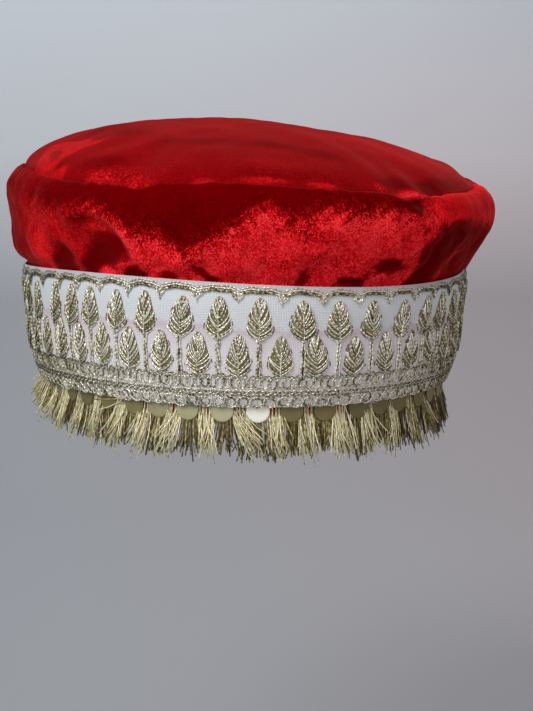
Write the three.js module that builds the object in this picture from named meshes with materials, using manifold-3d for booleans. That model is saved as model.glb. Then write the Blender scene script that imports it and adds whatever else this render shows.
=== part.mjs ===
// Embroidered velvet cap: a soft oval crown in two velvet panels, a stiff ivory
// trim ribbon round the brow, and a row of small coins and a thread fringe that
// hang below the ribbon. Millimetres, +Z up, front towards -Y, origin at the
// middle of the head opening in the plane of the hem.
import * as THREE from "three";
import { mergeVertices } from "three/addons/utils/BufferGeometryUtils.js";
import manifoldModule from "manifold-3d";

const { Manifold, Mesh: ManifoldMesh } = await startManifold();

// Size of the brow oval, measured on the outside of the ribbon at its top edge
const BAND_HALF_WIDTH = 90;
const BAND_HALF_DEPTH = 110;
const MEAN_RADIUS = (BAND_HALF_WIDTH + BAND_HALF_DEPTH) / 2;
const SEGMENTS = 60;

// Layers, from the outside in
const GAP = 0.3;
const RIBBON_THICK = 1;
const COIN_THICK = 0.5;
const TAPE_THICK = 0.7;
const VELVET_THICK = 1.8;

// Ribbon
const RIBBON_FOOT = 4;
const RIBBON_HEIGHT = 45.5;
const RIBBON_SWAY = 2;
const RIBBON_TOP = RIBBON_FOOT + RIBBON_HEIGHT;

// Ribbon section: share of the height, and how far it stands in from the top edge
const RIBBON_SECTION = [
  { up: 0, inset: 6.5 },
  { up: 0.12, inset: 4.4 },
  { up: 0.28, inset: 2.6 },
  { up: 0.62, inset: 1.2 },
  { up: 0.86, inset: 0.1 },
  { up: 1, inset: 0 },
];

// Insets of the layers under the ribbon's foot, and the height of the hem's straight part
const COIN_INSET = RIBBON_SECTION[0].inset + RIBBON_THICK + GAP;
const TAPE_INSET = COIN_INSET + COIN_THICK + GAP;
const HEM_INSET = TAPE_INSET + TAPE_THICK + GAP;
const HEM_HEIGHT = 8;
const WALL_MEETS_RIBBON = 0.28;

// Height of the crown seam above the ribbon at each side, and where it sags
const SEAM_HEIGHT = { front: 36.4, right: 34, back: 37.5, left: 39 };
const SEAM_SAGS = [
  { at: "left temple", bearing: -52, along: 26, drop: 4.4 },
  { at: "left tuck", bearing: -42, along: 8, drop: 1.2 },
  { at: "right pucker", bearing: 37, along: 9, drop: 1.4 },
];

// Puffed crown side: rise above the ribbon where the seam is 37 mm up, puff beyond the
// ribbon at each side, and how far the row gives way to the folds
const SEAM_RISE = 37;
const PUFF_SECTION = [
  { at: "waist", rise: 0.6, front: -1.4, right: -1.4, back: -1.4, left: -1.4, give: 0 },
  { at: "tuck", rise: 4, front: 1.6, right: 0.8, back: 1.6, left: 2.2, give: 1 },
  { at: "low", rise: 10, front: 5.2, right: 5.6, back: 5.2, left: 4.6, give: 1 },
  { at: "belly", rise: 18, front: 8, right: 10.2, back: 8, left: 5.4, give: 1 },
  { at: "crest", rise: 27, front: 9, right: 12, back: 9.4, left: 7, give: 1 },
  { at: "shoulder", rise: 33, front: 7.6, right: 10.4, back: 8.4, left: 7, give: 1 },
  { at: "roll", rise: 36.2, front: 5.6, right: 7.2, back: 6, left: 5, give: 0.4 },
  { at: "lip", rise: 36.6, front: 4, right: 5, back: 4.2, left: 3.7, give: 0.1 },
  { at: "seam", rise: 35.2, front: 2.8, right: 2.8, back: 2.8, left: 2.8, give: 0 },
];
const OUTSIDE_ONLY = ["tuck", "belly", "roll"];

// Folds and hollows of the crown side: bearing from the front, rise, reach along and
// up the cloth, slant, and depth (hollow below zero)
const SIDE_FOLDS = [
  { at: "left hollow", bearing: -46, rise: 8, along: 11, up: 8, slant: 0, depth: -3.6 },
  { at: "left arch", bearing: -47, rise: 22, along: 20, up: 6, slant: 0.5, depth: 1.6 },
  { at: "ear hollow", bearing: -59, rise: 6, along: 7, up: 7, slant: 0.3, depth: -2.6 },
  { at: "front dip", bearing: -28, rise: 15, along: 9, up: 12, slant: 0, depth: -2 },
  { at: "front tuck", bearing: 4, rise: 5, along: 8, up: 5, slant: 0.4, depth: -1.8 },
  { at: "right tuck", bearing: 27, rise: 7, along: 9, up: 8, slant: -0.4, depth: -2.2 },
  { at: "right hollow", bearing: 52, rise: 12, along: 16, up: 11, slant: 0.5, depth: -3.4 },
  { at: "right pucker", bearing: 34, rise: 29, along: 8, up: 6, slant: 0, depth: -2.4 },
  { at: "back tuck", bearing: 122, rise: 9, along: 12, up: 9, slant: 0.3, depth: -2.4 },
  { at: "nape tuck", bearing: -150, rise: 8, along: 13, up: 9, slant: -0.3, depth: -2.6 },
];
const GATHERS = 26;
const GATHER_DEPTH = 0.7;
const GATHER_RISE = 5;
const GATHER_REACH = 6;

// Domed tip panel: rise above the seam, and how round its shoulder is at each side
const TIP_RISE = 21;
const TIP_ROUNDNESS = { front: 0.68, right: 0.86, back: 0.68, left: 0.56 };
const TIP_APEX_X = -5;
const TIP_RINGS = [0.25, 0.48, 0.68, 0.84, 0.94, 0.985, 1];
const TIP_UNDER_RINGS = [0.3, 0.6, 0.84, 0.95, 1];
const TIP_FOLDS = [
  { at: "left hollow", bearing: -82, share: 0.82, reach: 16, depth: -3.2 },
  { at: "left ridge", bearing: -60, share: 0.72, reach: 14, depth: 1.4 },
  { at: "front sag", bearing: -42, share: 0.97, reach: 12, depth: -2 },
  { at: "right pucker", bearing: 37, share: 0.95, reach: 10, depth: -1.6 },
];

// Fringe: a sewn tape behind the ribbon, with flat thread locks that splay outwards
const TAPE_LOW = 2.5;
const TAPE_HIGH = 8;
const LOCK_COUNT = 60;
const LOCK_DROP = 18;
const LOCK_SPLAY = 7;
const LOCK_UNEVEN = 1.6;
const LOCK_SECTION = [
  { z: 6, width: 7.4, thick: 0.7 },
  { z: -3, width: 7.6, thick: 0.7 },
  { z: RIBBON_FOOT - LOCK_DROP, width: 9, thick: 1.2 },
];

// Coins, sewn on through a hole near the upper rim
const COIN_COUNT = 45;
const COIN_START = 0.1;
const COIN_RADIUS = 4.4;
const COIN_SIDES = 10;
const COIN_HOLE_RADIUS = 0.75;
const COIN_HOLE_SIDES = 4;
const COIN_HOLE_DROP = 1.7;
const COIN_SHOW = 6.1;
const COIN_SWING = 6;
// Coins sewn a little off the even spacing, towards +X at the front
const COIN_SHIFTS = [
  { coin: 3, along: 2.2 },
  { coin: 5, along: -1.5 },
  { coin: 39, along: -1.2 },
  { coin: 41, along: 1.4 },
  { coin: 43, along: -1.1 },
];

// Colours of the plain model
const VELVET_RED = 0x8e0f16;
const RIBBON_IVORY = 0xdcdce2;
const COIN_GOLD = 0xa9a47c;
const FRINGE_GOLD = 0xb9ac72;

async function startManifold() {
  const kit = await manifoldModule();
  kit.setup();
  return kit;
}

function radians(degrees) {
  return (degrees * Math.PI) / 180;
}

// Blend four compass values smoothly round the oval
function compass({ front, right, back, left }, bearing) {
  const mean = (front + right + back + left) / 4;
  const side = ((right - left) / 2) * Math.sin(bearing);
  const fore = ((front - back) / 2) * Math.cos(bearing);
  const split = ((front + back - right - left) / 4) * Math.cos(2 * bearing);
  return mean + side + fore + split;
}

// Point of the brow oval, moved out by an offset
function ovalPoint(bearing, offset, z) {
  const x = (BAND_HALF_WIDTH + offset) * Math.sin(bearing);
  const y = -(BAND_HALF_DEPTH + offset) * Math.cos(bearing);
  return new THREE.Vector3(x, y, z);
}

// Bearings that share the oval's girth at one offset into equal lengths
function evenBearings(count, offset, start = 0) {
  const steps = 3600;
  const lengths = [0];
  for (let i = 1; i <= steps; i += 1) {
    const from = ovalPoint(((i - 1) / steps) * 2 * Math.PI, offset, 0);
    const to = ovalPoint((i / steps) * 2 * Math.PI, offset, 0);
    lengths.push(lengths[i - 1] + from.distanceTo(to));
  }
  const bearings = [];
  let i = 1;
  for (let k = 0; k < count; k += 1) {
    const want = (lengths[steps] * (k + start)) / count;
    while (lengths[i] < want) i += 1;
    const share = (want - lengths[i - 1]) / (lengths[i] - lengths[i - 1]);
    bearings.push(((i - 1 + share) / steps) * 2 * Math.PI);
  }
  return bearings;
}

// Shortest signed turn from one bearing to another
function turn(from, to) {
  return Math.atan2(Math.sin(to - from), Math.cos(to - from));
}

function ribbonTop(bearing) {
  return RIBBON_TOP - RIBBON_SWAY * Math.sin(2 * bearing);
}

function ribbonLevel(bearing, up) {
  return RIBBON_FOOT + up * (ribbonTop(bearing) - RIBBON_FOOT);
}

// Closed skin through rings of points: between two end points, or round on itself
function skin(rings, startPoint, endPoint) {
  const count = rings[0].length;
  const points = rings.flat();
  const faces = [];
  const at = (ring, i) => ring * count + (i % count);
  const joins = startPoint ? rings.length - 1 : rings.length;
  for (let r = 0; r < joins; r += 1) {
    const next = (r + 1) % rings.length;
    for (let i = 0; i < count; i += 1) {
      faces.push(at(r, i), at(r, i + 1), at(next, i + 1));
      faces.push(at(r, i), at(next, i + 1), at(next, i));
    }
  }
  if (startPoint) {
    const last = rings.length - 1;
    const first = points.push(startPoint) - 1;
    const end = points.push(endPoint) - 1;
    for (let i = 0; i < count; i += 1) {
      faces.push(first, at(0, i + 1), at(0, i));
      faces.push(end, at(last, i), at(last, i + 1));
    }
  }
  const geometry = new THREE.BufferGeometry();
  const values = points.flatMap((p) => [p.x, p.y, p.z]);
  geometry.setAttribute("position", new THREE.Float32BufferAttribute(values, 3));
  geometry.setIndex(faces);
  return geometry;
}

// Rings round the oval from a section worked out at each bearing
function sectionRings(sectionAt) {
  const sections = [];
  for (let i = 0; i < SEGMENTS; i += 1) {
    const bearing = (i / SEGMENTS) * 2 * Math.PI;
    sections.push(sectionAt(bearing).map(({ offset, z }) => ovalPoint(bearing, offset, z)));
  }
  return sections[0].map((_, row) => sections.map((section) => section[row]));
}

// Inner face of a cloth section: the outer line moved in by the cloth thickness
function insideOf(line, thick) {
  return line.map((point, i) => {
    const before = line[Math.max(i - 1, 0)];
    const after = line[Math.min(i + 1, line.length - 1)];
    const run = new THREE.Vector2(after.offset - before.offset, after.z - before.z).normalize();
    return { at: point.at, offset: point.offset - thick * run.y, z: point.z + thick * run.x };
  });
}

// Hollows and ridges of the crown side at one place
function sideFold(bearing, rise) {
  let sum = 0;
  for (const fold of SIDE_FOLDS) {
    const up = rise - fold.rise;
    const along = turn(radians(fold.bearing), bearing) * MEAN_RADIUS - fold.slant * up;
    sum += fold.depth * Math.exp(-((along / fold.along) ** 2) - (up / fold.up) ** 2);
  }
  const gather = Math.exp(-(((rise - GATHER_RISE) / GATHER_REACH) ** 2));
  return sum + GATHER_DEPTH * gather * Math.cos(GATHERS * bearing);
}

function seamHeight(bearing) {
  let height = compass(SEAM_HEIGHT, bearing);
  for (const sag of SEAM_SAGS) {
    const along = turn(radians(sag.bearing), bearing) * MEAN_RADIUS;
    height -= sag.drop * Math.exp(-((along / sag.along) ** 2));
  }
  return height;
}

function puffRow(row, bearing) {
  const rise = (row.rise * seamHeight(bearing)) / SEAM_RISE;
  const offset = compass(row, bearing) + row.give * sideFold(bearing, rise);
  return { at: row.at, offset, z: ribbonTop(bearing) + rise };
}

// Crown side: straight wall behind the ribbon, puffed roll above it
function crownSide() {
  const rings = sectionRings((bearing) => {
    const hem = [0, HEM_HEIGHT].map((z) => ({ offset: -HEM_INSET, z }));
    const behind = RIBBON_SECTION.filter(({ up }) => up >= WALL_MEETS_RIBBON && up < 1);
    const wall = behind.map(({ up, inset }) => {
      return { offset: -inset - RIBBON_THICK - GAP, z: ribbonLevel(bearing, up) };
    });
    const puff = PUFF_SECTION.map((row) => puffRow(row, bearing));
    const outer = [...hem, ...wall, ...puff];
    const inner = insideOf(outer, VELVET_THICK).filter(({ at }) => !OUTSIDE_ONLY.includes(at));
    return [...outer, ...inner.reverse()];
  });
  return skin(rings);
}

// Tip panel height and outline at one bearing and share of the way to the seam
function tipPoint(bearing, share) {
  const seam = PUFF_SECTION[PUFF_SECTION.length - 1];
  const edge = puffRow(seam, bearing);
  const rim = ovalPoint(bearing, edge.offset - GAP, ribbonTop(bearing) + seamHeight(bearing));
  const point = new THREE.Vector3(rim.x * share, rim.y * share, rim.z);
  point.x += TIP_APEX_X * (1 - share * share);
  const middle = RIBBON_TOP + SEAM_RISE;
  point.z = middle + (rim.z - middle) * share ** 5;
  point.z += TIP_RISE * (1 - share * share) ** compass(TIP_ROUNDNESS, bearing);
  for (const fold of TIP_FOLDS) {
    const centre = ovalPoint(radians(fold.bearing), 0, 0).multiplyScalar(fold.share);
    const away = Math.hypot(point.x - centre.x, point.y - centre.y);
    point.z += fold.depth * Math.exp(-((away / fold.reach) ** 2));
  }
  return point;
}

function tipRing(share, drop) {
  const ring = [];
  for (let i = 0; i < SEGMENTS; i += 1) {
    const point = tipPoint((i / SEGMENTS) * 2 * Math.PI, share);
    point.z -= drop;
    ring.push(point);
  }
  return ring;
}

function crownTip() {
  const upper = TIP_RINGS.map((share) => tipRing(share, 0));
  const lower = TIP_UNDER_RINGS.map((share) => tipRing(share, VELVET_THICK)).reverse();
  const top = tipPoint(0, 0);
  const under = top.clone();
  under.z -= VELVET_THICK;
  return skin([...upper, ...lower].reverse(), under, top);
}

// Trim ribbon: one thin band with a slightly wavy top edge
function trimRibbon() {
  const rings = sectionRings((bearing) => {
    const outer = RIBBON_SECTION.map(({ up, inset }) => {
      return { offset: -inset, z: ribbonLevel(bearing, up) };
    });
    const inner = outer.map(({ offset, z }) => ({ offset: offset - RIBBON_THICK, z }));
    return [...outer, ...inner.reverse()];
  });
  return skin(rings);
}

function asManifold(geometry) {
  const plain = new THREE.BufferGeometry();
  plain.setAttribute("position", geometry.getAttribute("position").clone());
  plain.setIndex(geometry.getIndex());
  const welded = mergeVertices(plain, 1e-4);
  const mesh = new ManifoldMesh({
    numProp: 3,
    vertProperties: Float32Array.from(welded.getAttribute("position").array),
    triVerts: Uint32Array.from(welded.getIndex().array),
  });
  return new Manifold(mesh);
}

function fuse(geometries) {
  const joined = geometries.map(asManifold).reduce((sum, piece) => sum.add(piece));
  const mesh = joined.getMesh();
  const geometry = new THREE.BufferGeometry();
  const stride = mesh.numProp;
  const values = [];
  for (let i = 0; i < mesh.vertProperties.length; i += stride) {
    values.push(...mesh.vertProperties.slice(i, i + 3));
  }
  geometry.setAttribute("position", new THREE.Float32BufferAttribute(values, 3));
  geometry.setIndex(Array.from(mesh.triVerts));
  return geometry;
}

// Fringe lock: a tapered flat strip that hangs down and splays at its end
function fringeLock(bearing, index) {
  const uneven = LOCK_UNEVEN * Math.sin(index * 2.4);
  const sideways = new THREE.Vector3(
    BAND_HALF_WIDTH * Math.cos(bearing),
    BAND_HALF_DEPTH * Math.sin(bearing),
    0,
  ).normalize();
  const outward = new THREE.Vector3(sideways.y, -sideways.x, 0);
  const rings = LOCK_SECTION.map((row, i) => {
    const end = i === LOCK_SECTION.length - 1 ? 1 : 0;
    const face = ovalPoint(bearing, -TAPE_INSET, row.z + end * uneven);
    face.addScaledVector(outward, end * LOCK_SPLAY);
    face.addScaledVector(sideways, end * Math.sin(index * 1.7));
    return [
      [-0.5, -1],
      [0.5, -1],
      [0.5, 0],
      [-0.5, 0],
    ].map(([across, deep]) => {
      const corner = face.clone().addScaledVector(sideways, across * row.width);
      return corner.addScaledVector(outward, deep * row.thick);
    });
  });
  const middle = (ring) => ring.reduce((sum, p) => sum.add(p), new THREE.Vector3()).divideScalar(4);
  const last = rings[rings.length - 1];
  return skin(rings, middle(rings[0]), middle(last));
}

function fringe() {
  const tape = skin(
    sectionRings(() => [
      { offset: -TAPE_INSET, z: TAPE_LOW },
      { offset: -TAPE_INSET, z: TAPE_HIGH },
      { offset: -TAPE_INSET - TAPE_THICK, z: TAPE_HIGH },
      { offset: -TAPE_INSET - TAPE_THICK, z: TAPE_LOW },
    ]),
  );
  const bearings = evenBearings(LOCK_COUNT, -TAPE_INSET);
  return fuse([tape, ...bearings.map(fringeLock)]);
}

// Coin: a thin disc with a sewing hole, hung flat against the fringe
function coin(bearing, index) {
  const disc = new THREE.Shape();
  for (let i = 0; i < COIN_SIDES; i += 1) {
    const angle = (i / COIN_SIDES) * 2 * Math.PI;
    const x = COIN_RADIUS * Math.cos(angle);
    const y = COIN_RADIUS * Math.sin(angle);
    if (i === 0) disc.moveTo(x, y);
    else disc.lineTo(x, y);
  }
  disc.closePath();
  const hole = new THREE.Path();
  for (let i = 0; i < COIN_HOLE_SIDES; i += 1) {
    const angle = (-i / COIN_HOLE_SIDES) * 2 * Math.PI;
    const x = COIN_HOLE_RADIUS * Math.cos(angle);
    const y = COIN_RADIUS - COIN_HOLE_DROP + COIN_HOLE_RADIUS * Math.sin(angle);
    if (i === 0) hole.moveTo(x, y);
    else hole.lineTo(x, y);
  }
  hole.closePath();
  disc.holes.push(hole);
  const geometry = new THREE.ExtrudeGeometry(disc, { depth: COIN_THICK, bevelEnabled: false });
  const swing = radians(COIN_SWING * Math.sin(index * 2.9));
  geometry.translate(0, COIN_HOLE_DROP - COIN_RADIUS, 0);
  geometry.rotateZ(swing);
  geometry.rotateX(Math.PI / 2);
  const slope = Math.atan2(BAND_HALF_DEPTH * Math.sin(bearing), BAND_HALF_WIDTH * Math.cos(bearing));
  geometry.rotateZ(slope);
  const spot = ovalPoint(bearing, -COIN_INSET - COIN_THICK, 0);
  spot.z = RIBBON_FOOT - COIN_SHOW + 2 * COIN_RADIUS - COIN_HOLE_DROP;
  geometry.translate(spot.x, spot.y, spot.z);
  return geometry;
}

function named(name, geometry, color) {
  const metal = color === COIN_GOLD;
  const material = new THREE.MeshStandardMaterial({
    color,
    roughness: metal ? 0.4 : 0.9,
    metalness: metal ? 1 : 0,
    name: `${name}_material`,
  });
  const mesh = new THREE.Mesh(geometry, material);
  mesh.name = name;
  return mesh;
}

const cap = new THREE.Group();
cap.name = "embroidered_velvet_cap";
cap.add(named("crown_tip", crownTip(), VELVET_RED));
cap.add(named("crown_side", crownSide(), VELVET_RED));
cap.add(named("trim_ribbon", trimRibbon(), RIBBON_IVORY));
cap.add(named("fringe", fringe(), FRINGE_GOLD));
evenBearings(COIN_COUNT, -COIN_INSET, COIN_START).forEach((bearing, i) => {
  const name = `coin_${String(i + 1).padStart(2, "0")}`;
  const shift = COIN_SHIFTS.find((row) => row.coin === i + 1)?.along ?? 0;
  cap.add(named(name, coin(bearing + shift / MEAN_RADIUS, i), COIN_GOLD));
});

export default cap;
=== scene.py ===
import math

import bpy
import numpy as np
from mathutils import Matrix, Vector


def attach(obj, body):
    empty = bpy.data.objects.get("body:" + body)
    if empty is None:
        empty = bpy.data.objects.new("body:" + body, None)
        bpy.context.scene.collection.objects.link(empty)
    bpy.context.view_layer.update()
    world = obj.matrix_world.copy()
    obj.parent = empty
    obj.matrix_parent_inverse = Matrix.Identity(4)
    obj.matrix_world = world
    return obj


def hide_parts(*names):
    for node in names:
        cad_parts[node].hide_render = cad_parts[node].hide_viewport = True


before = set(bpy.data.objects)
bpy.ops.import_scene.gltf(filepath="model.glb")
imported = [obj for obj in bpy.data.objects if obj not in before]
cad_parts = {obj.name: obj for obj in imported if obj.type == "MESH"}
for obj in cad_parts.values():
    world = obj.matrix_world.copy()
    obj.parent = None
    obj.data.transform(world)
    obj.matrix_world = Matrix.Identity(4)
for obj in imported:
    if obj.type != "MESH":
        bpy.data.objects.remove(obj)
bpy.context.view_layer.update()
dice = np.random.default_rng(11)
MM = 0.001

# Sizes of the cap in millimetres, the same as in the part's source. Bearings start at the front
# and grow towards +X, in degrees in the tables. Rises start at the top of the ribbon
BAND_HALF_WIDTH, BAND_HALF_DEPTH, MEAN_RADIUS = 90.0, 110.0, 100.0
RIBBON_THICK, COIN_THICK, TAPE_THICK, VELVET_THICK, GAP = 1.0, 0.5, 0.7, 1.8, 0.3
RIBBON_FOOT, RIBBON_HEIGHT, RIBBON_SWAY = 4.0, 45.5, 2.0
RIBBON_TOP = RIBBON_FOOT + RIBBON_HEIGHT
# Section of the ribbon: share of the way up, and inset from the band's oval
RIBBON_UP, RIBBON_INSET = [0, 0.12, 0.28, 0.62, 0.86, 1], [6.5, 4.4, 2.6, 1.2, 0.1, 0]
# Where the worn ribbon has slipped down: bearing, reach along, drop
RIBBON_DIP = [(-104, 70, -2.2)]
HEM_INSET, HEM_HEIGHT = 9.6, 8.0
SEAM_RISE = 37.0
SEAM_HEIGHT = (36.4, 34.0, 37.5, 39.0)  # front, right, back, left
# Sags of the crown seam, then the closer ones where it is puckered, in the columns of the dip
SEAM_SAGS = [
    (-52, 26, -4.4), (-42, 8, -1.2), (37, 9, -1.4),
    (-90, 26, -1.2), (-68, 16, -1.6), (-35.5, 7.5, -3.2), (-26, 14, -1.6), (27, 7, -2.0),
    (52, 14, -0.8), (84, 20, -1.6),
]
# Puffed side: rise, puff at front, right, back and left, and how far the row gives to folds
PUFF_ROWS = [
    (0.6, -1.4, -1.4, -1.4, -1.4, 0.0),
    (4.0, 1.6, 0.8, 1.6, 2.2, 1.0),
    (10.0, 5.2, 5.6, 5.2, 4.6, 1.0),
    (18.0, 8.0, 10.2, 8.0, 5.4, 1.0),
    (27.0, 9.0, 11.2, 9.4, 7.0, 1.0),
    (33.0, 7.6, 9.6, 8.4, 7.0, 1.0),
    (36.2, 5.6, 6.6, 6.0, 5.0, 0.4),
    (36.6, 4.0, 4.8, 4.2, 3.7, 0.1),
    (35.2, 2.8, 2.8, 2.8, 2.8, 0.0),
]
# Folds of the crown side: bearing, rise, reach along, reach up, slant, depth
SIDE_FOLDS = [
    (-46, 8, 11, 8, 0, -3.6), (-47, 22, 20, 6, 0.5, 1.6), (-59, 6, 7, 7, 0.3, -2.6),
    (-28, 15, 9, 12, 0, -2), (4, 5, 8, 5, 0.4, -1.8), (27, 7, 9, 8, -0.4, -2.2),
    (52, 12, 16, 11, 0.5, -3.4), (34, 29, 8, 6, 0, -2.4), (122, 9, 12, 9, 0.3, -2.4),
    (-150, 8, 13, 9, -0.3, -2.6),
]
# Finer creases and dimples that only show in the dressed cap, in the same columns
SIDE_CREASES = [
    (-42.5, 17.5, 7, 1.5, 0, -0.9), (-38, 16, 3, 5, -0.5, 0.8), (-35.5, 6, 3.4, 5, -0.2, 0.9),
    (-30.5, 2.6, 4, 3, 0, -1.3), (-21.4, 3, 5, 3.2, 0, -1.5), (-26, 6.5, 4, 3, 0.6, 0.7),
    (2, 4, 3, 4, 0.3, -1.1), (12, 2.8, 5, 3, 0, -1.3), (22, 7.9, 7, 3.4, 0.4, -1.3),
    (26, 30.5, 7, 1.6, 1.6, -1.0), (30, 30.6, 4, 2.4, 0, -1.0), (31.3, 20.9, 3, 2.2, 0, -0.8),
    (46, 19, 9, 5, 0.5, -0.9), (47, 9.5, 6, 2.2, 0.6, 0.5), (38, 9, 5, 8, 0.6, -1.0),
    (78, 4, 22, 5, 0, -1), (101, 5, 5, 5, 0.4, -1.4), (139, 6, 6, 5, -0.4, -1.3),
    (152, 12, 6, 9, 0.4, 0.8), (168, 4, 5, 5, 0, -1.3), (-172, 9, 6, 8, 0.5, 0.9),
    (-134, 5, 5, 5, 0.3, -1.4), (-118, 11, 6, 8, -0.4, 0.9), (-103, 5, 5, 5, 0, -0.4),
    (-88, 13, 8, 9, 0.3, -0.4), (-98, 4, 30, 4, 0, 0.6),
]
# Sharp folds of the crown side. Each is a route of (bearing, rise) places with the hollow on
# its right, the height of its ridge and depth of its hollow in mm, and how much painted highlight
# lies on the ridge and how much painted shade in the hollow
SIDE_LINES = [
    ([(-56, 21), (-50, 22.6), (-46, 23), (-42.5, 21), (-40, 17.5), (-38, 13), (-37, 7), (-36, 1)],
     0.9, 1.0, 0.2, 0.26),
    ([(-50, 16), (-46, 17.2), (-42, 16.6), (-39.7, 13.8), (-38.6, 9)], 0.5, 0.8, 0.16, 0.34),
    ([(31, 0.5), (33, 4.5), (34.5, 9), (33.8, 15.5), (36.7, 20), (40.5, 22), (49.5, 22.3),
     (64, 20)], 0.3, 1.0, 0.0, 0.0),
    ([(20, 33.6), (26, 30.6), (29.5, 27)], 0.5, 0.8, 0.05, 0.12),
    ([(-63, 8.5), (-58, 11), (-54, 7.5), (-52.5, 3)], 0.5, 0.7, 0.04, 0.1),
]
LINE_RIDGE, LINE_HOLLOW, LINE_REACH = 1.5, -2.4, 2.3  # mm from the route, and half width
# Gathers just above the ribbon: how many, how deep, their rise and reach up
GATHERS, GATHER_DEPTH, GATHER_RISE, GATHER_REACH = 26, 0.7, 5.0, 6.0
# Soft unevenness of cloth: turns round the cap, mm for one wave upwards, phase, depth
SIDE_RIPPLES = [
    (17, 31, 0.3, 0.32), (29, 23, 1.9, 0.26), (43, 17, 4.1, 0.2), (61, 13, 2.7, 0.1),
    (83, 9, 0.9, 0.05), (109, 7, 5.2, 0.03),
]
RIPPLE_BEND = 1.3
# Cloth that hangs over the top of the ribbon, in the columns of the folds
DROOPS = [(78, 3.2, 22, 4.5, 0, 5.4)]
# Tuck that draws the left end of the roll and of the tip inwards, in the same columns
EAR_TUCK = [(-90, 41, 38, 5.5, 0, -3.4)]
TIP_RISE, TIP_APEX_X = 21.0, -5.0
TIP_ROUNDNESS = (0.68, 0.8, 0.68, 0.56)  # front, right, back, left
# Folds of the tip: bearing, share of the way to the seam, reach, depth
TIP_FOLDS = [(-82, 0.82, 16, -3.2), (-60, 0.72, 14, 1.4), (-42, 0.97, 12, -2), (37, 0.95, 10, -1.6)]
# Swells of the dressed tip that end at the seam, in the same columns
TIP_SWELLS = [(98, 0.5, 40, -2.9), (88, 0.99, 10, 2.4)]

# Shapes of the cap


def compass(sides, bearing):
    """Value at a bearing, between its values at the front, right, back and left."""
    front, right, back, left = sides
    split = (front + back - right - left) / 4 * np.cos(2 * bearing)
    across = (right - left) / 2 * np.sin(bearing) + (front - back) / 2 * np.cos(bearing)
    return (front + right + back + left) / 4 + across + split


def oval(bearing, offset, z):
    """Point at a bearing in radians, an offset out from the band's oval, and a height."""
    x = (BAND_HALF_WIDTH + offset) * np.sin(bearing)
    y = -(BAND_HALF_DEPTH + offset) * np.cos(bearing)
    return np.stack(np.broadcast_arrays(x, y, z), -1)


def unit(vectors):
    return vectors / np.linalg.norm(vectors, axis=-1, keepdims=True)


def bell(away):
    return np.exp(-(away**2))


def eased(share):
    """0 to 1 with a soft start and end."""
    share = np.clip(share, 0, 1)
    return share * share * (3 - 2 * share)


def toward(value, goal, share):
    return value + (goal - value) * share


def columns(table, at):
    """The later columns of a table, read at places along its first one."""
    first, *others = np.array(table, float).T
    return [np.interp(at, first, other) for other in others]


def through(knots, values, at):
    """Smooth line through rows of values, read at the places given."""
    knots, values, at = (np.asarray(x, float) for x in (knots, values, at))
    slope = np.gradient(values, knots, axis=0)
    i = np.clip(np.searchsorted(knots, at, side="right") - 1, 0, len(knots) - 2)
    span = knots[i + 1] - knots[i]
    s = (at - knots[i]) / span
    s, span = (x.reshape(x.shape + (1,) * (values.ndim - 1)) for x in (s, span))
    held = values[i] * (1 + 2 * s) * (1 - s) ** 2 + values[i + 1] * s * s * (3 - 2 * s)
    return held + span * (slope[i] * s * (1 - s) ** 2 + slope[i + 1] * s * s * (s - 1))


def swells(table, bearing, rise, crisp=1):
    """Sum of round swells: bearing, rise, reach along and up, slant, amount.

    They are soft hills at crisp 1, and flat patches with clear edges at crisp 2.
    """
    total = 0.0
    for middle, up, along, tall, slant, amount in table:
        turn = bearing - math.radians(middle)
        turn = np.arctan2(np.sin(turn), np.cos(turn)) * MEAN_RADIUS
        away = ((turn - slant * (rise - up)) / along) ** 2 + ((rise - up) / tall) ** 2
        total = total + amount * np.exp(-(away**crisp))
    return total


def sags(table, bearing):
    """Sum of soft sags of an edge: bearing, reach along, amount."""
    return swells([(middle, 0, along, 1, 0, drop) for middle, along, drop in table], bearing, 0.0)


def arc_table(offset, half_steps=3600):
    """Bearings all round, and the length along the oval from the front to each."""
    turns = np.linspace(-np.pi, np.pi, 2 * half_steps + 1)
    steps = np.linalg.norm(np.diff(oval(turns, offset, 0), axis=0), axis=1)
    lengths = np.concatenate([[0], np.cumsum(steps)])
    return turns, lengths - lengths[half_steps]


RIBBON_TURNS, RIBBON_RUNS = arc_table(-2)
GIRTH = RIBBON_RUNS[-1] - RIBBON_RUNS[0]


def wrapped(run, girth=GIRTH):
    """The same place as a length of at most half the girth to either side of the front."""
    return (run + girth / 2) % girth - girth / 2


def bearing_at(run):
    """Bearing at a length along the ribbon from the front."""
    return np.interp(wrapped(run), RIBBON_RUNS, RIBBON_TURNS)


def even_bearings(count, offset, start=0.0):
    """Bearings that are evenly spaced along an oval."""
    turns, lengths = arc_table(offset)
    girth = lengths[-1] - lengths[0]
    return np.interp(wrapped((np.arange(count) + start) / count * girth, girth), lengths, turns)


def ribbon_top(bearing):
    return RIBBON_TOP - RIBBON_SWAY * np.sin(2 * bearing) + sags(RIBBON_DIP, bearing)


def ribbon_level(bearing, up):
    foot = RIBBON_FOOT + sags(RIBBON_DIP, bearing)
    return foot + up * (ribbon_top(bearing) - foot)


def lean_of(part, step=0.01):
    """How far the ribbon's section leans in as it goes up, as a slope."""
    low, high = np.clip(part - step, 0, 1), np.clip(part + step, 0, 1)
    fall = through(RIBBON_UP, RIBBON_INSET, high) - through(RIBBON_UP, RIBBON_INSET, low)
    return fall / ((high - low) * RIBBON_HEIGHT)


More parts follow.
